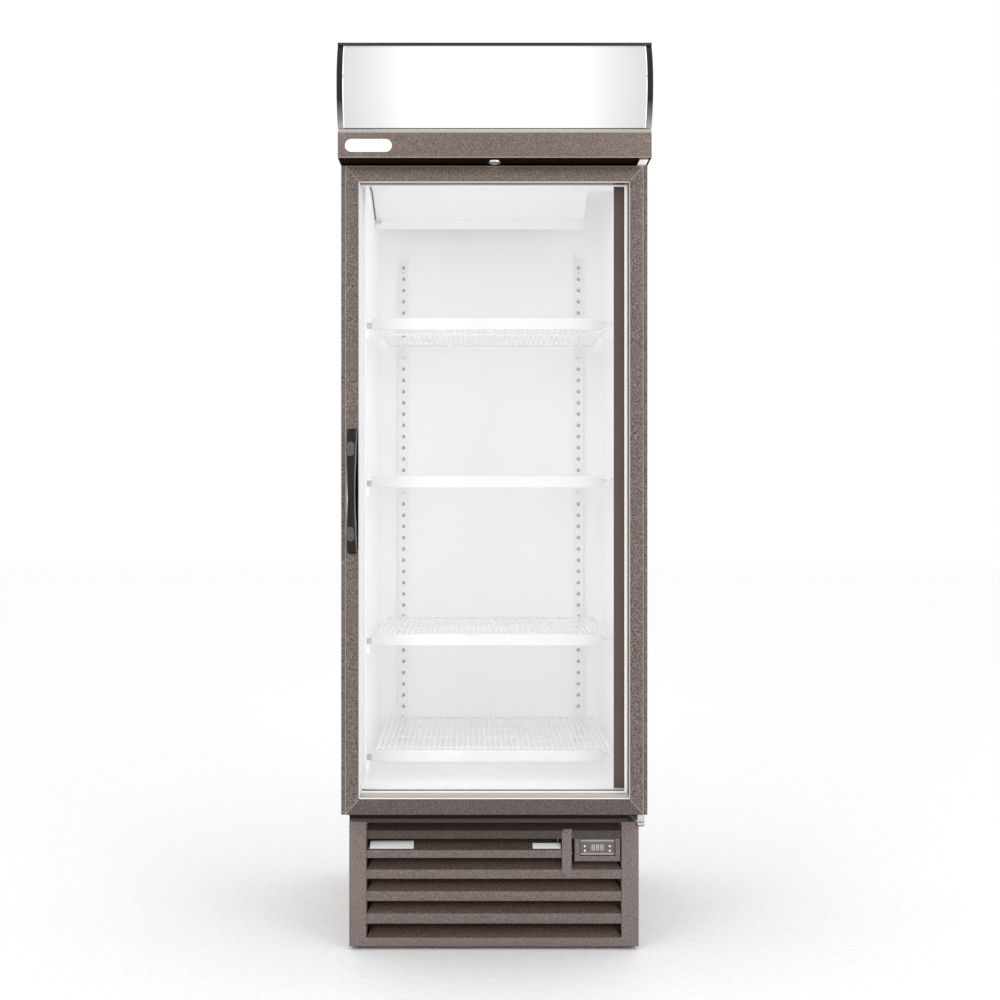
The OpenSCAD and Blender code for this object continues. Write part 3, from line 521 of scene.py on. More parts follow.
def piece(name, bm, slot, body="cabinet", stands_for=(), material=None):
    """A finished Blender piece: it rides on its body, takes its slot's material unless another is given, and
    hides the nodes it stands for.
    """
    obj = new_object(name, bm, material or MAT[slot])
    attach(obj, body)
    if stands_for:
        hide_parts(*stands_for)
    return obj


def by_angle(obj, degrees=35):
    """Smooth shading with sharp edges kept above an angle."""
    mesh = obj.data
    mesh.shade_smooth()
    mesh.set_sharp_from_angle(angle=math.radians(degrees))


def rounded(obj, width, segments=2):
    """Rounds the sharp edges of an object and applies the result to its mesh."""
    mod = obj.modifiers.new("round", "BEVEL")
    mod.width = width
    mod.segments = segments
    mod.limit_method = "ANGLE"
    mod.angle_limit = math.radians(30)
    mod.use_clamp_overlap = True
    apply_modifiers(obj)
    by_angle(obj, 40)


def apply_modifiers(obj):
    """Replaces an object's mesh by the result of its modifiers."""
    bpy.context.view_layer.update()
    graph = bpy.context.evaluated_depsgraph_get()
    made = bpy.data.meshes.new_from_object(obj.evaluated_get(graph))
    obj.modifiers.clear()
    obj.data = made


def softened(node, width, body="cabinet", material=None, segments=2, name=None):
    """A copy of a CAD node with rounded edges, which stands for it."""
    source = frame["nodes"][node]
    bm = bmesh.new()
    bm.from_mesh(source.data)
    bmesh.ops.remove_doubles(bm, verts=bm.verts, dist=1e-5)
    bmesh.ops.dissolve_limit(bm, angle_limit=math.radians(1), verts=bm.verts, edges=bm.edges)
    obj = piece(name or node + "_soft", bm, SLOTS[node], body, (node,), material)
    rounded(obj, width, segments)
    return obj


def repaint(obj, material, chosen):
    """Gives another material to the faces that a test of their centre and normal picks."""
    obj.data.materials.append(material)
    index = len(obj.data.materials) - 1
    for face in obj.data.polygons:
        if chosen(face.center, face.normal):
            face.material_index = index


def box_into(bm, low, high):
    """Adds a box between two corners."""
    centre = [(a + b) / 2 for a, b in zip(low, high)]
    size = [b - a for a, b in zip(low, high)]
    bmesh.ops.create_cube(bm, size=1, matrix=Matrix.Translation(centre) @ Matrix.Diagonal((*size, 1)))


def rod_into(bm, start, end, radius, sides=12):
    """Adds a round rod between two points."""
    start, end = Vector(start), Vector(end)
    along = end - start
    turn = along.to_track_quat("Z", "Y").to_matrix().to_4x4()
    place = Matrix.Translation((start + end) / 2) @ turn
    bmesh.ops.create_cone(
        bm, cap_ends=True, segments=sides, radius1=radius, radius2=radius, depth=along.length, matrix=place
    )


def tube_into(bm, points, radius, sides=8):
    """Adds a tube along a list of points, its rings turned to follow the path."""
    rings = []
    for i, p in enumerate(points):
        before = points[max(i - 1, 0)]
        after = points[min(i + 1, len(points) - 1)]
        along = (Vector(after) - Vector(before)).normalized()
        side = along.cross(Vector((0, 0, 1)))
        if side.length < 0.1:
            side = along.cross(Vector((0, 1, 0)))
        side.normalize()
        up = side.cross(along)
        ring = []
        for k in range(sides):
            a = 2 * math.pi * k / sides
            ring.append(bm.verts.new(Vector(p) + (side * math.cos(a) + up * math.sin(a)) * radius))
        rings.append(ring)
    for a, b in zip(rings, rings[1:]):
        for k in range(sides):
            bm.faces.new((a[k], a[(k + 1) % sides], b[(k + 1) % sides], b[k]))
    bm.faces.new(rings[0])
    bm.faces.new(reversed(rings[-1]))


def loft_into(bm, rings):
    """Joins closed rings of the same number of points into a closed skin."""
    made = [[bm.verts.new(p) for p in ring] for ring in rings]
    n = len(rings[0])
    for a, b in zip(made, made[1:]):
        for k in range(n):
            bm.faces.new((a[k], a[(k + 1) % n], b[(k + 1) % n], b[k]))
    bm.faces.new(made[0])
    bm.faces.new(reversed(made[-1]))


def arc(centre, radius, start, end, steps):
    """Points of an arc in a plane, angles in degrees."""
    out = []
    for i in range(steps + 1):
        a = math.radians(start + (end - start) * i / steps)
        out.append((centre[0] + radius * math.cos(a), centre[1] + radius * math.sin(a)))
    return out


def prism_into(bm, outline, axis, low, high):
    """Extrudes a closed outline along X or Y between two values."""
    def at(p, v):
        return (v, p[0], p[1]) if axis == "x" else (p[0], v, p[1])

    loft_into(bm, [[at(p, low) for p in outline], [at(p, high) for p in outline]])


# ---------- door ----------

STRIP = 9 * MM
STILE_W = DOOR_X - OPEN_X
RAIL_H = DOOR_TOP - OPEN_TOP


def door_outline(width, depth, strip):
    """Section of a frame profile: distance from the outer edge, depth behind the door's front."""
    d = depth
    if strip:
        outer = [(0, d), (0, 6 * MM), (0.6 * MM, 4.2 * MM), (2.2 * MM, 3.2 * MM), (6.6 * MM, 3.0 * MM)]
        outer += [(7.2 * MM, 4.4 * MM), (8.2 * MM, 4.4 * MM), (8.6 * MM, 2.4 * MM)]
        outer += [(9.2 * MM, 1.1 * MM), (10.4 * MM, 0.3 * MM), (12.2 * MM, 0)]
    else:
        outer = [(0, d), (0, 2.6 * MM), (0.5 * MM, 1.2 * MM), (1.4 * MM, 0.4 * MM), (3 * MM, 0)]
    inner = [(width - 2.4 * MM, 0), (width - 1 * MM, 0.35 * MM)]
    inner += [(width - 0.3 * MM, 1.1 * MM), (width, 2.4 * MM)]
    return outer + inner + [(width, d)]


def door_frame():
    """Uprights and crosspieces of the door, mitred at the corners, with their fine seams, painted highlights
    along the step and the top edge, painted light on the top crosspiece and painted shade on the bottom one.
    """
    depth = DOOR_BACK - DOOR_FRONT
    gap = 0.15 * MM
    slope = RAIL_H / (STILE_W - STRIP)
    bm = bmesh.new()
    for side in (-1, 1):
        low_ring, high_ring = [], []
        for u, v in door_outline(STILE_W, depth, True):
            cut = max(u - STRIP, 0) * slope
            x = side * (DOOR_X - u)
            low_ring.append((x, DOOR_FRONT + v, DOOR_LOW + cut + (gap if cut else 0)))
            high_ring.append((x, DOOR_FRONT + v, DOOR_TOP - cut - (gap if cut else 0)))
        loft_into(bm, [low_ring, high_ring])
    uprights = piece("door_uprights", bm, "hammertone_paint", "door", ("door_stiles",))
    # Painted highlight along the step of each upright
    repaint(uprights, EDGE_PAINTED_HIGHLIGHT, lambda c, n: DOOR_X - 10.9 * MM < abs(c.x) < DOOR_X - 7.6 * MM and n.y < -0.1)
    by_angle(uprights, 25)
    bm = bmesh.new()
    for z, way in ((DOOR_TOP, -1), (DOOR_LOW, 1)):
        left, right = [], []
        for u, v in door_outline(RAIL_H, depth, False):
            x = DOOR_X - STRIP - u / slope - gap
            left.append((-x, DOOR_FRONT + v, z + way * u))
            right.append((x, DOOR_FRONT + v, z + way * u))
        loft_into(bm, [left, right])
    crosspieces = piece("door_crosspieces", bm, "hammertone_paint", "door", ("door_rails",))
    # Painted light on the top crosspiece, a painted highlight on its upper edge, painted shade on the bottom
    # crosspiece
    repaint(crosspieces, TOP_RAIL_PAINTED_LIGHT, lambda c, n: c.z > OPEN_TOP - 1 * MM)
    repaint(crosspieces, EDGE_PAINTED_HIGHLIGHT, lambda c, n: n.y < -0.2 and n.z > 0.2 and c.z > OPEN_TOP)
    repaint(crosspieces, LOW_RAIL_PAINTED_SHADE, lambda c, n: c.z < OPEN_LOW + 1 * MM)
    by_angle(crosspieces, 25)
    bm = bmesh.new()
    for sx in (-1, 1):
        for z0, z1 in ((DOOR_TOP, OPEN_TOP), (DOOR_LOW, OPEN_LOW)):
            a = Vector((sx * (DOOR_X - STRIP - 1.5 * MM), DOOR_FRONT + 0.25 * MM, z0 + (z1 - z0) * 0.06))
            b = Vector((sx * (OPEN_X + 0.8 * MM), DOOR_FRONT + 0.25 * MM, z1 + (z0 - z1) * 0.02))
            rod_into(bm, a, b, 0.45 * MM, 6)
    piece("mitre_seams", bm, "hammertone_paint", "door", material=SEAM)


def glazing_unit():
    """The sealed double-glazed unit as one clear block, so that light passes it as freely as real glass."""
    low, high = span("glass_panes")
    bm = bmesh.new()
    box_into(bm, tuple(low), tuple(high))
    piece("glazing_unit", bm, "glass", "door", ("glass_panes",))


# ---------- handle ----------

HANDLE = span("handle")
HANDLE_X = (HANDLE[0].x + HANDLE[1].x) / 2
HANDLE_MID = (HANDLE[0].z + HANDLE[1].z) / 2
HANDLE_HALF = (HANDLE[1].z - HANDLE[0].z) / 2
HANDLE_OUT = DOOR_FRONT - HANDLE[0].y
END_OUT = 14 * MM
FOOT = 62 * MM
HANDLE_STEPS = 48

# The painted highlight on the handle's left front edge: its middle and how far it reaches up and down
GLINT_MID = 0.976
GLINT_UP = 0.115
GLINT_DOWN = 0.085

# Rings of a screw cap from its base to its dished middle: size, and distance behind the handle's front
CAP_RINGS = ((1.0, 3 * MM), (1.0, -0.2 * MM), (0.93, -0.7 * MM), (0.8, -0.9 * MM), (0.72, -0.5 * MM))


def handle_front(t):
    """Front of the bowed handle; t runs from -1 at its lower end to 1 at its upper end."""
    return DOOR_FRONT - (END_OUT + (HANDLE_OUT - END_OUT) * (1 - t * t))


def handle_ring(z, centre_x, front_half, back_half, front, back):
    """Closed ring of a handle section at one height, with rounded front corners."""
    r = min(3.2 * MM, (back - front) * 0.45)
    ring = []
    for cx, start in ((front_half - r, -90), (-front_half + r, 180)):
        for dx, dy in arc((0, 0), r, start, start + 90, 4):
            ring.append((centre_x + cx + dx, front + r + dy, z))
        if cx > 0:
            ring.append((centre_x + back_half, back - 0.5 * MM, z))
            ring.append((centre_x + back_half - 0.8 * MM, back, z))
            ring.append((centre_x - back_half + 0.8 * MM, back, z))
            ring.append((centre_x - back_half, back - 0.5 * MM, z))
    return ring


def pull_handle():
    """The bowed handle, hollowed behind for the hand, with a painted highlight on its left edge."""
    rings = []
    for i in range(HANDLE_STEPS + 1):
        t = -1 + 2 * i / HANDLE_STEPS
        z = HANDLE_MID + t * HANDLE_HALF
        near_end = max(0.0, (abs(t) - 0.93) / 0.07)
        front = handle_front(t) + near_end ** 2 * 7 * MM
        inside = max(0.0, 1 - (abs(z - HANDLE_MID) / (HANDLE_HALF - FOOT)) ** 2)
        back = DOOR_FRONT - 27 * MM * inside ** 0.75
        waist = 1 - t * t
        front_half = (9.6 - 1.6 * waist ** 2 - 1.6 * near_end) * MM
        back_half = (12.6 - 3.2 * waist - 1.0 * near_end) * MM
        rings.append(handle_ring(z, HANDLE_X, front_half, back_half, front, back))
    bm = bmesh.new()
    loft_into(bm, rings)
    obj = piece("pull_handle", bm, "black_plastic", "door", ("handle",), HANDLE_FACE)
    mod = obj.modifiers.new("smooth", "SUBSURF")
    mod.levels = mod.render_levels = 2
    apply_modifiers(obj)
    left = HANDLE_X - 9.6 * MM

    def glint(c, n):
        away = (c.z - GLINT_MID) / (GLINT_UP if c.z > GLINT_MID else GLINT_DOWN)
        reach = 1 - abs(away)
        return reach > 0 and n.y < -0.1 and c.x < left + (0.8 + 3.4 * reach ** 1.6) * MM

    repaint(obj, HANDLE_GLINT, glint)
    by_angle(obj, 60)


def handle_base_plate():
    """Thin plate between the handle and the door, in near-black paint that also serves as the handle's
    painted shadow on the door.
    """
    r = 6 * MM
    x0, x1 = HANDLE_X - 10 * MM + r, -OPEN_X - 0.4 * MM - r
    z0, z1 = HANDLE[0].z + 4 * MM + r, HANDLE[1].z - 4 * MM - r
    ring = arc((x1, z1), r, 0, 90, 6) + arc((x0, z1), r, 90, 180, 6)
    ring += arc((x0, z0), r, 180, 270, 6) + arc((x1, z0), r, 270, 360, 6)
    bm = bmesh.new()
    prism_into(bm, ring, "y", DOOR_FRONT - 1.2 * MM, DOOR_FRONT)
    piece("handle_base_plate", bm, "black_plastic", "door", material=SHADE_BLACK)


def handle_screw_caps():
    """Long dished caps over the two handle screws, tilted with the bow."""
    low, high = span("handle_caps")
    length = 31 * MM
    radius = (high.x - low.x) / 2
    straight = length / 2 - radius
    ring = arc((0, straight), radius, 0, 180, 12) + arc((0, -straight), radius, 180, 360, 12)
    x_mid = HANDLE_X - 1 * MM
    bm = bmesh.new()
    for z in (low.z + length / 2, high.z - length / 2):
        t = (z - HANDLE_MID) / HANDLE_HALF
        front = handle_front(t)
        slope = 2 * (HANDLE_OUT - END_OUT) * t / HANDLE_HALF
        layers = []
        for grow, lift in CAP_RINGS:
            layer = [(x_mid + x * grow, front + lift + (dz * grow) * slope, z + dz * grow) for x, dz in ring]
            layers.append(layer)
        loft_into(bm, layers)
    by_angle(piece("handle_screw_caps", bm, "grey_plastic", "door", ("handle_caps",), HANDLE_CAP), 50)


# ---------- shelves ----------

WIRES = 42
WIRE_R = 2.1 * MM
BAR_R = 2.8 * MM
BAR_STEPS = (3 * MM, 81 * MM, 211 * MM, 341 * MM)
RAIL_HEIGHT = 26 * MM
RAIL_SHEET = 2.2 * MM


def wire_shelves():
    """Four shelves of thin wires, bent down at both ends, over bars and two side rods."""
    for n in range(1, 5):
        node = f"shelf_{n}"
        low, high = span(node)
        top = high.z - WIRE_R
        x0, x1 = low.x + WIRE_R, high.x - WIRE_R
        bm = bmesh.new()
        for i in range(WIRES):
            x = x0 + (x1 - x0) * i / (WIRES - 1)
            points = [
                (x, low.y + 1.5 * MM, top - 5 * MM), (x, low.y + 1.2 * MM, top - 2 * MM),
                (x, low.y + 3 * MM, top - 0.4 * MM), (x, low.y + 6 * MM, top),
                (x, high.y - 6 * MM, top), (x, high.y - 3 * MM, top - 0.4 * MM),
                (x, high.y - 1.2 * MM, top - 2 * MM), (x, high.y - 1.5 * MM, top - 5 * MM),
            ]
            tube_into(bm, points, WIRE_R * 0.9)
        z = low.z + BAR_R
        for dy in (*BAR_STEPS, high.y - low.y - 3 * MM):
            rod_into(bm, (low.x, low.y + dy, z), (high.x, low.y + dy, z), BAR_R)
        for x in (low.x + BAR_R, high.x - BAR_R):
            rod_into(bm, (x, low.y, z), (x, high.y, z), BAR_R)
        by_angle(piece(f"wire_shelf_{n}", bm, "white_enamel", stands_for=(node,)), 60)


def price_rails():
    """White price rails on the shelf fronts: a hollow-faced channel with rolled edges."""
    low, high = span("price_rails")
    bm = bmesh.new()
    for n in range(1, 5):
        top = span(f"shelf_{n}")[1].z + 4 * MM
        z0 = top - RAIL_HEIGHT
        t = RAIL_SHEET
        outline = [
            (high.y, top), (low.y + 1.6 * MM, top), (low.y + 0.5 * MM, top - 0.5 * MM),
            (low.y, top - 1.6 * MM), (low.y + 0.35 * MM, top - 4 * MM), (low.y + 0.6 * MM, (top + z0) / 2),
            (low.y + 0.35 * MM, z0 + 4 * MM), (low.y, z0 + 1.6 * MM), (low.y + 0.5 * MM, z0 + 0.5 * MM),
            (low.y + 1.6 * MM, z0), (high.y, z0), (high.y, z0 + t), (low.y + t, z0 + t),
            (low.y + t, top - t), (high.y, top - t),
        ]
        prism_into(bm, outline, "x", low.x, high.x)
    strips = piece("price_strips", bm, "white_plastic", stands_for=("price_rails",), material=STRIP_WHITE)
    by_angle(strips, 35)


def rail_end_clips():
    """Grey clip at the left end of each price rail: two round studs on a small plate."""
    low = span("price_rails")[0]
    bm = bmesh.new()
    for n in range(1, 5):
        z = span(f"shelf_{n}")[1].z - 13 * MM
        for k in (0, 1):
            x = low.x - (4.5 + 7 * k) * MM
            rod_into(bm, (x, low.y + 3 * MM, z), (x, low.y + 9 * MM, z), 4.2 * MM, 18)
        corner = (low.x - 15 * MM, low.y + 5 * MM, z - 6 * MM)
        box_into(bm, corner, (low.x - 1 * MM, low.y + 8 * MM, z + 7 * MM))
    by_angle(piece("rail_end_clips", bm, "grey_plastic", material=CLIP_GREY), 40)


# ---------- evaporator cover ----------

# Depth and height of the line where the cover's underside meets the wall, from its front to its rear
COVER_LINE = ((-0.03, 1.6975), (0.023, 1.6975), (0.136, 1.6556))


def cover_details():
    """A dark blue tube of painted shade along the gap where the evaporator cover meets the left wall, and the
    clip that holds it.
    """
    low, high = span("evaporator_cover")
    x = low.x + 1.2 * MM
    bm = bmesh.new()
    tube_into(bm, [(x, y, z) for y, z in COVER_LINE], 1.3 * MM)
    piece("cover_gap", bm, "grey_plastic", material=GAP_BLUE)
    bm = bmesh.new()
    box_into(bm, (x, high.y - 8 * MM, low.z + 14 * MM), (x + 14 * MM, high.y - 3 * MM, low.z + 18 * MM))
    box_into(bm, (x - 1 * MM, high.y - 5 * MM, low.z + 2 * MM), (x, high.y - 3 * MM, low.z + 16 * MM))
    rounded(piece("cover_clip", bm, "grey_plastic", material=CLIP_GREY), 0.5 * MM)


# ---------- canopy, grille, hinges ----------

SIGN_SHEET = 3 * MM
SIGN_BULGE = 26 * MM


def sign_sheet():
    """The bulged sign panel as one smooth sheet, with a bright strip along both ends."""
    low, high = SIGN
    height = high.z - low.z
    mid = (high.z + low.z) / 2
    radius = (height * height / 4 + SIGN_BULGE * SIGN_BULGE) / (2 * SIGN_BULGE)
    centre = low.y + radius
    half = math.degrees(math.asin(height / 2 / radius))
    outer = arc((centre, mid), radius, 180 + half, 180 - half, 48)
    inner = arc((centre, mid), radius - SIGN_SHEET, 180 - half, 180 + half, 48)
    steps = 24
    rings = []
    for i in range(steps + 1):
        x = low.x + (high.x - low.x) * i / steps
        rings.append([(x, y, z) for y, z in outer + inner])
    bm = bmesh.new()
    loft_into(bm, rings)
    by_angle(piece("sign_sheet", bm, "opal_acrylic", stands_for=("sign_panel",), material=SIGN_MAT), 40)
    bm = bmesh.new()
    bow = arc((centre, mid), radius - 0.4 * MM, 180 + half, 180 - half, 32)
    for side in (-1, 1):
        tube_into(bm, [(side * (high.x - 1.2 * MM), y, z) for y, z in bow], 0.9 * MM)
    by_angle(piece("sign_edge_strips", bm, "opal_acrylic", material=EDGE_WHITE), 40)


def canopy_skin():
    """Fascia and housing of the canopy, with painted light on the lip, a painted highlight along the lower
    edge and painted shade on the undersides.
    """
    low, high = span("fascia")
    fascia = softened("fascia", 0.6 * MM, material=FASCIA_SHEET)
    # Painted light from the sign on the sloping lip
    repaint(fascia, LIP_PAINTED_LIGHT, lambda c, n: n.z > 0.2 and n.y < -0.2 and c.z > SIGN[0].z - 12 * MM)
    repaint(fascia, EDGE_PAINTED_HIGHLIGHT, lambda c, n: c.z < low.z + 1.2 * MM and n.y < -0.3)
    repaint(fascia, UNDERSIDE_PAINTED_SHADE, lambda c, n: n.z < -0.8)
    # A thin strip of painted highlight along the fascia's lower edge
    bm = bmesh.new()
    corner = (low.x + 0.5 * MM, low.y - 0.2 * MM, low.z + 0.1 * MM)
    box_into(bm, corner, (high.x - 0.5 * MM, low.y, low.z + 2 * MM))
    piece("fascia_edge_highlight", bm, "hammertone_paint", material=EDGE_PAINTED_HIGHLIGHT)
    housing = softened("canopy_housing", 0.6 * MM)
    repaint(housing, CAP_BLACK, lambda c, n: c.z > SIGN[1].z - 1 * MM)
    repaint(housing, UNDERSIDE_PAINTED_SHADE, lambda c, n: c.z < DOOR_TOP + 40 * MM and (n.y < -0.5 or n.z < -0.5))


def grille_skin():
    """Louvres, their frame and the display bezel; painted shade makes most blades darker than the lips in
    front of them and darkens the top lip, and painted light brightens the top blade.
    """
    top_blade, top_lip = 0.25, 0.238
    louvres = softened("grille_louvres", 0.5 * MM, material=SHEET)
    # Painted shade and painted light on the blades, painted shade on the top lip
    repaint(louvres, BLADE_PAINTED_SHADE, lambda c, n: n.z > 0.2 and c.y > FRONT + 2 * MM)
    repaint(louvres, TOP_BLADE_PAINTED_LIGHT, lambda c, n: c.z > top_blade and n.z > 0.2 and c.y > FRONT + 2 * MM)
    repaint(louvres, BLADE_PAINTED_SHADE, lambda c, n: n.y > 0.2)
    repaint(louvres, SHADED_LIP, lambda c, n: c.z > top_lip and n.y < -0.5)
    softened("grille_frame", 0.6 * MM, material=FRAME_SHEET)
    softened("thermostat_bezel", 0.6 * MM, material=SHEET)


def hinge_skin():
    """Zinc hinges: dark flat plates, bright turned collars with a painted glow, and grooves drawn as black
    rings of painted shade.
    """
    hinges = softened("hinge_brackets", 0.5 * MM, material=SATIN_ZINC)
    low, high = (v.z for v in span("hinge_brackets"))
    collar_r, groove_r = 9.6 * MM, 9.12 * MM
    pin_x = sum(v.x for v in span("hinge_bushes")) / 2
    pin_y = sum(v.y for v in span("hinge_bushes")) / 2

    def off_pin(c, n):
        return math.hypot(c.x - pin_x, c.y - pin_y) > collar_r

    repaint(hinges, SMOKE_GREY, off_pin)
    repaint(hinges, COLLAR_PAINTED_GLOW, lambda c, n: not off_pin(c, n) and c.z > high - 40 * MM)
    # Black rings of painted shade in the collars' grooves
    bm = bmesh.new()
    for z, t in ((low + 10.6 * MM, 1.5), (DOOR_LOW - 3.4 * MM, 1.0), (low + 2.2 * MM, 0.7)):
        rod_into(bm, (pin_x, pin_y, z), (pin_x, pin_y, z + t * MM), groove_r, 40)
    piece("hinge_groove_shade", bm, "zinc", material=SHADE_BLACK)


# ---------- labels, display ----------

def blank_labels():
    """The badge and the two plates of the grille, without lettering."""
    softened("label_plates", 0.5 * MM, material=BLANK_PLATE, segments=3, name="blank_plates")


# Ends of the seven segments of a digit, in half widths across and half heights up
SEGMENTS = (
    ((-1, 2), (1, 2)), ((1, 2), (1, 0)), ((1, 0), (1, -2)), ((-1, -2), (1, -2)),
    ((-1, 0), (-1, -2)), ((-1, 2), (-1, 0)), ((-1, 0), (1, 0)),
)
DIGIT_STEP = 9.4 * MM
DIGIT_UNIT = 2.6 * MM
STROKE_END = 0.75 * MM
STROKE_HALF = 0.6 * MM


def display_digits():
    """Three digits with all their segments, standing a hair in front of the display."""
    low, high = span("thermostat_display")
    cx = (low.x + high.x) / 2
    cz = (low.z + high.z) / 2
    y = low.y - 0.1 * MM
    behind = Vector((0, 0.2 * MM, 0))
    bm = bmesh.new()
    for k in (-1, 0, 1):
        middle = cx + k * DIGIT_STEP
        for (x0, z0), (x1, z1) in SEGMENTS:
            a = Vector((middle + x0 * DIGIT_UNIT * 0.95, y, cz + z0 * DIGIT_UNIT))
            b = Vector((middle + x1 * DIGIT_UNIT * 0.95, y, cz + z1 * DIGIT_UNIT))
            way = (b - a).normalized()
            along = way * STROKE_END
            side = Vector((0, -1, 0)).cross(way) * STROKE_HALF
            ring = [a + along * 0.4, a + along + side, b - along + side]
            ring += [b - along * 0.4, b - along - side, a + along - side]
            loft_into(bm, [[p + behind for p in ring], ring])
    piece("display_digits", bm, "white_plastic", material=SEGMENT)


def control_bars():
    """Pale bars above and below the push buttons."""
    low, high = span("thermostat_body")
    front = span("button_up")[0].y + 0.8 * MM
    x0, x1 = low.x + 1.5 * MM, high.x - 1.5 * MM
    bm = bmesh.new()
    for z0, z1 in ((high.z - 5.2 * MM, high.z - 1.2 * MM), (low.z + 1.2 * MM, low.z + 5.2 * MM)):
        box_into(bm, (x0, front - 0.5 * MM, z0), (x1, front + 0.2 * MM, z1))
    rounded(piece("control_bars", bm, "grey_plastic", material=CONTROL_BAR), 0.3 * MM)


# ---------- screws, shelf uprights ----------

SCREW_R = 2.6 * MM
GRILLE_SCREW_X = 0.1505
GRILLE_SCREW_Z = (0.2585, 0.1615)
HOLE_PITCH = 29 * MM

# Rings of a pan head from its rim to its recess: width and height in head radii
PAN_HEAD = ((1.0, 0.0), (1.0, 0.35), (0.86, 0.62), (0.55, 0.8), (0.3, 0.84), (0.26, 0.5))


def screw_head(bm, place, normal):
    """Adds a pan-head screw on a face."""
    place, normal = Vector(place), Vector(normal)
    side = normal.orthogonal().normalized()
    up = normal.cross(side)
    rings = []
    for grow, lift in PAN_HEAD:
        ring = []
        for k in range(16):
            a = 2 * math.pi * k / 16
            around = (side * math.cos(a) + up * math.sin(a)) * SCREW_R * grow
            ring.append(place + around + normal * SCREW_R * lift)
        rings.append(ring)
    loft_into(bm, rings)


def grille_screws():
    """Two painted screws on the face of the grille's frame."""
    front = span("grille_frame")[0].y
    bm = bmesh.new()
    for z in GRILLE_SCREW_Z:
        screw_head(bm, (GRILLE_SCREW_X, front, z), (0, -1, 0))
    by_angle(piece("grille_screws", bm, "zinc", material=MAT["hammertone_paint"]), 50)


def upright_screws():
    """A screw near both ends of each shelf upright."""
    low, high = UPRIGHTS
    bm = bmesh.new()
    for side in (-1, 1):
        for z in (high.z - 32 * MM, low.z + 20 * MM):
            screw_head(bm, (side * UPRIGHT_X, REAR_WALL - 12 * MM, z), (0, -1, 0))
    by_angle(piece("upright_screws", bm, "zinc"), 50)


def upright_holes():
    """Holes of the shelf uprights: dark discs of painted shade, with smaller white discs of painted light in
    front that leave a dark crescent.
    """
    low, high = UPRIGHTS
    count = int((high.z - low.z + 2 * MM) / HOLE_PITCH) - 1
    heights = [high.z - 18 * MM - i * HOLE_PITCH for i in range(count)]
    bm = bmesh.new()
    for side in (-1, 1):
        x = side * UPRIGHT_X
        for z in heights:
            rod_into(bm, (x, REAR_WALL - 9 * MM, z), (x, REAR_WALL - 4.4 * MM, z), 4.3 * MM, 20)
    piece("upright_hole_shadows", bm, "white_enamel", material=HOLE_SHADE)
    # White discs of painted light, off centre in front of the shade
    bm = bmesh.new()
    for side, shift in ((-1, -1.5 * MM), (1, 0.2 * MM)):
        x = side * UPRIGHT_X + shift
        for z in heights:
            z += 0.4 * MM
            rod_into(bm, (x, REAR_WALL - 9.4 * MM, z), (x, REAR_WALL - 8.9 * MM, z), 2.7 * MM, 20)
    piece("upright_hole_painted_light", bm, "white_enamel", material=STRIP_WHITE)


def post_fold_shades():
    """Fine grey line of painted shade down the front of each side post, at its fold beside the wall."""
    low, high = UPRIGHTS
    bm = bmesh.new()
    for side in (-1, 1):
        edge = side * POST_EDGE
        x0, x1 = sorted((edge, edge - side * 0.9 * MM))
        box_into(bm, (x0, low.y - 0.4 * MM, low.z), (x1, low.y + 0.5 * MM, high.z))
    piece("upright_fold_shade_lines", bm, "white_enamel", material=FOLD_SHADE)


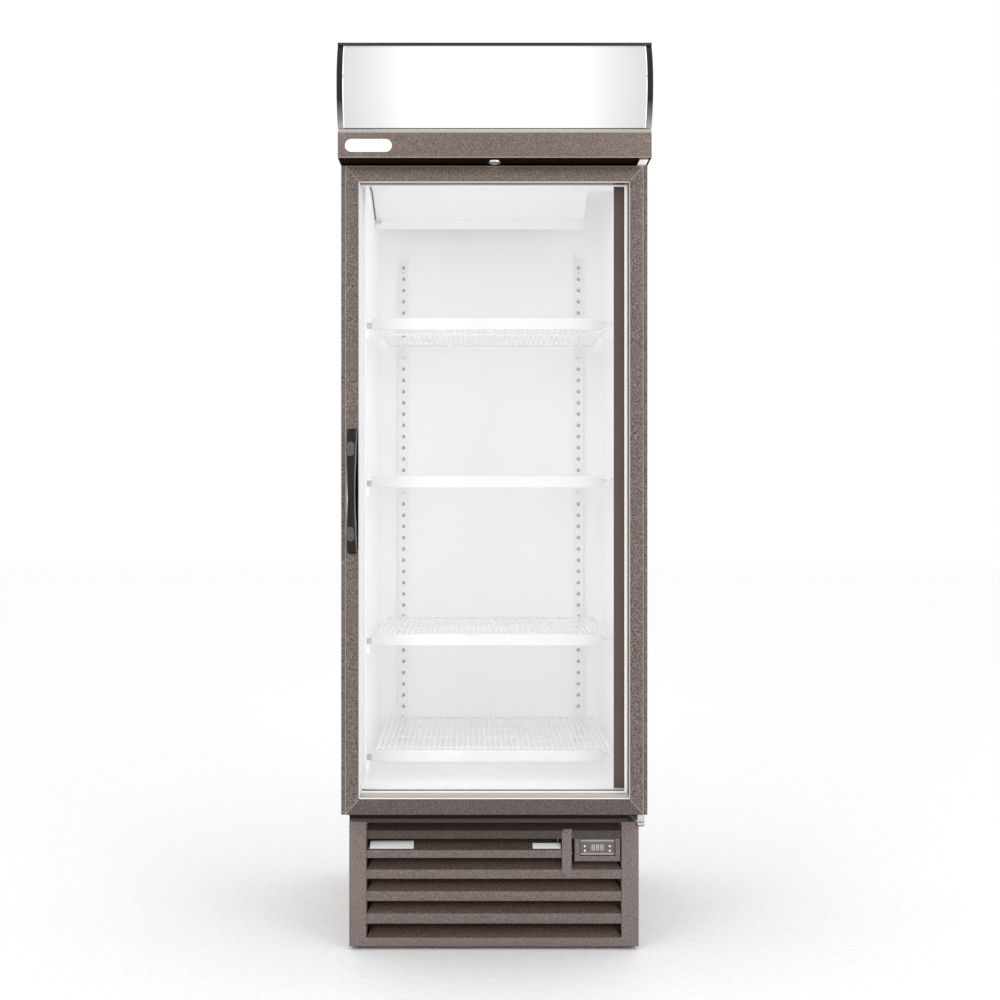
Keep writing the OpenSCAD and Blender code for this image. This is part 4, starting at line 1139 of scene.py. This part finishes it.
def probe_clip():
    """Angled clip for a temperature probe at the top of the right upright."""
    left = UPRIGHT_X - 13 * MM
    top = UPRIGHTS[1].z
    near = REAR_WALL - 1 * MM
    bm = bmesh.new()
    box_into(bm, (left, REAR_WALL - 5 * MM, top - 3 * MM), (left + 3 * MM, near, top + 25 * MM))
    box_into(bm, (left, REAR_WALL - 16 * MM, top - 3 * MM), (left + 18 * MM, near, top))
    rounded(piece("probe_clip", bm, "white_enamel"), 0.4 * MM)


# ---------- edge of the glazing ----------

def paint_glazing_edge():
    """Pale and bright stretches of the glass spacer and the bead, lit up with a painted glow so that they
    look bright through the glass, and a paler spacer along the sill.
    """
    spacer = frame["nodes"]["glass_spacer"]
    spacer.data.materials[0] = SPACER
    repaint(spacer, SILL_SPACER, lambda c, n: c.z < OPEN_LOW + 9 * MM and abs(c.x) < OPEN_X - 3 * MM)
    repaint(spacer, PALE_BEAD_PAINTED_GLOW, lambda c, n: c.x < -OPEN_X + 3 * MM)
    bead = frame["nodes"]["glazing_bead"]
    inner = (DOOR_FRONT + DOOR_BACK) / 2

    # Faces of the bead that get the brighter painted glow
    def lit(c, n):
        return c.z < OPEN_LOW + 10 * MM or (c.x > OPEN_X - 9 * MM and c.y > inner)

    def pale(c, n):
        return c.x < -OPEN_X + 5 * MM or (c.z > OPEN_TOP - 4 * MM and c.y > inner)

    repaint(bead, BEAD_PAINTED_GLOW, lit)
    repaint(bead, PALE_BEAD_PAINTED_GLOW, pale)


# ---------- build ----------

make_camera()
paint_cad()
make_studio()
door_frame()
glazing_unit()
pull_handle()
handle_base_plate()
handle_screw_caps()
wire_shelves()
price_rails()
rail_end_clips()
cover_details()
sign_sheet()
blank_labels()
display_digits()
control_bars()
grille_screws()
upright_screws()
upright_holes()
post_fold_shades()
probe_clip()
canopy_skin()
grille_skin()
softened("lock_body", 0.8 * MM)
softened("lock_plunger", 0.5 * MM, "lock_plunger")
softened("lock_plug", 0.3 * MM, "lock_plug")
softened("lamp_channel", 0.3 * MM)
hinge_skin()
# Canopy end trims with a painted reflection
softened("canopy_ends", 1.2 * MM, material=END_TRIM_PAINTED_REFLECTION, segments=3)
frame["nodes"]["front_frame"].data.materials[0] = FLANGE
paint_glazing_edge()
softened("thermostat_body", 0.5 * MM, material=CONTROL)
for button in ("button_set", "button_power", "button_up", "button_down"):
    softened(button, 0.5 * MM, button, segments=3)
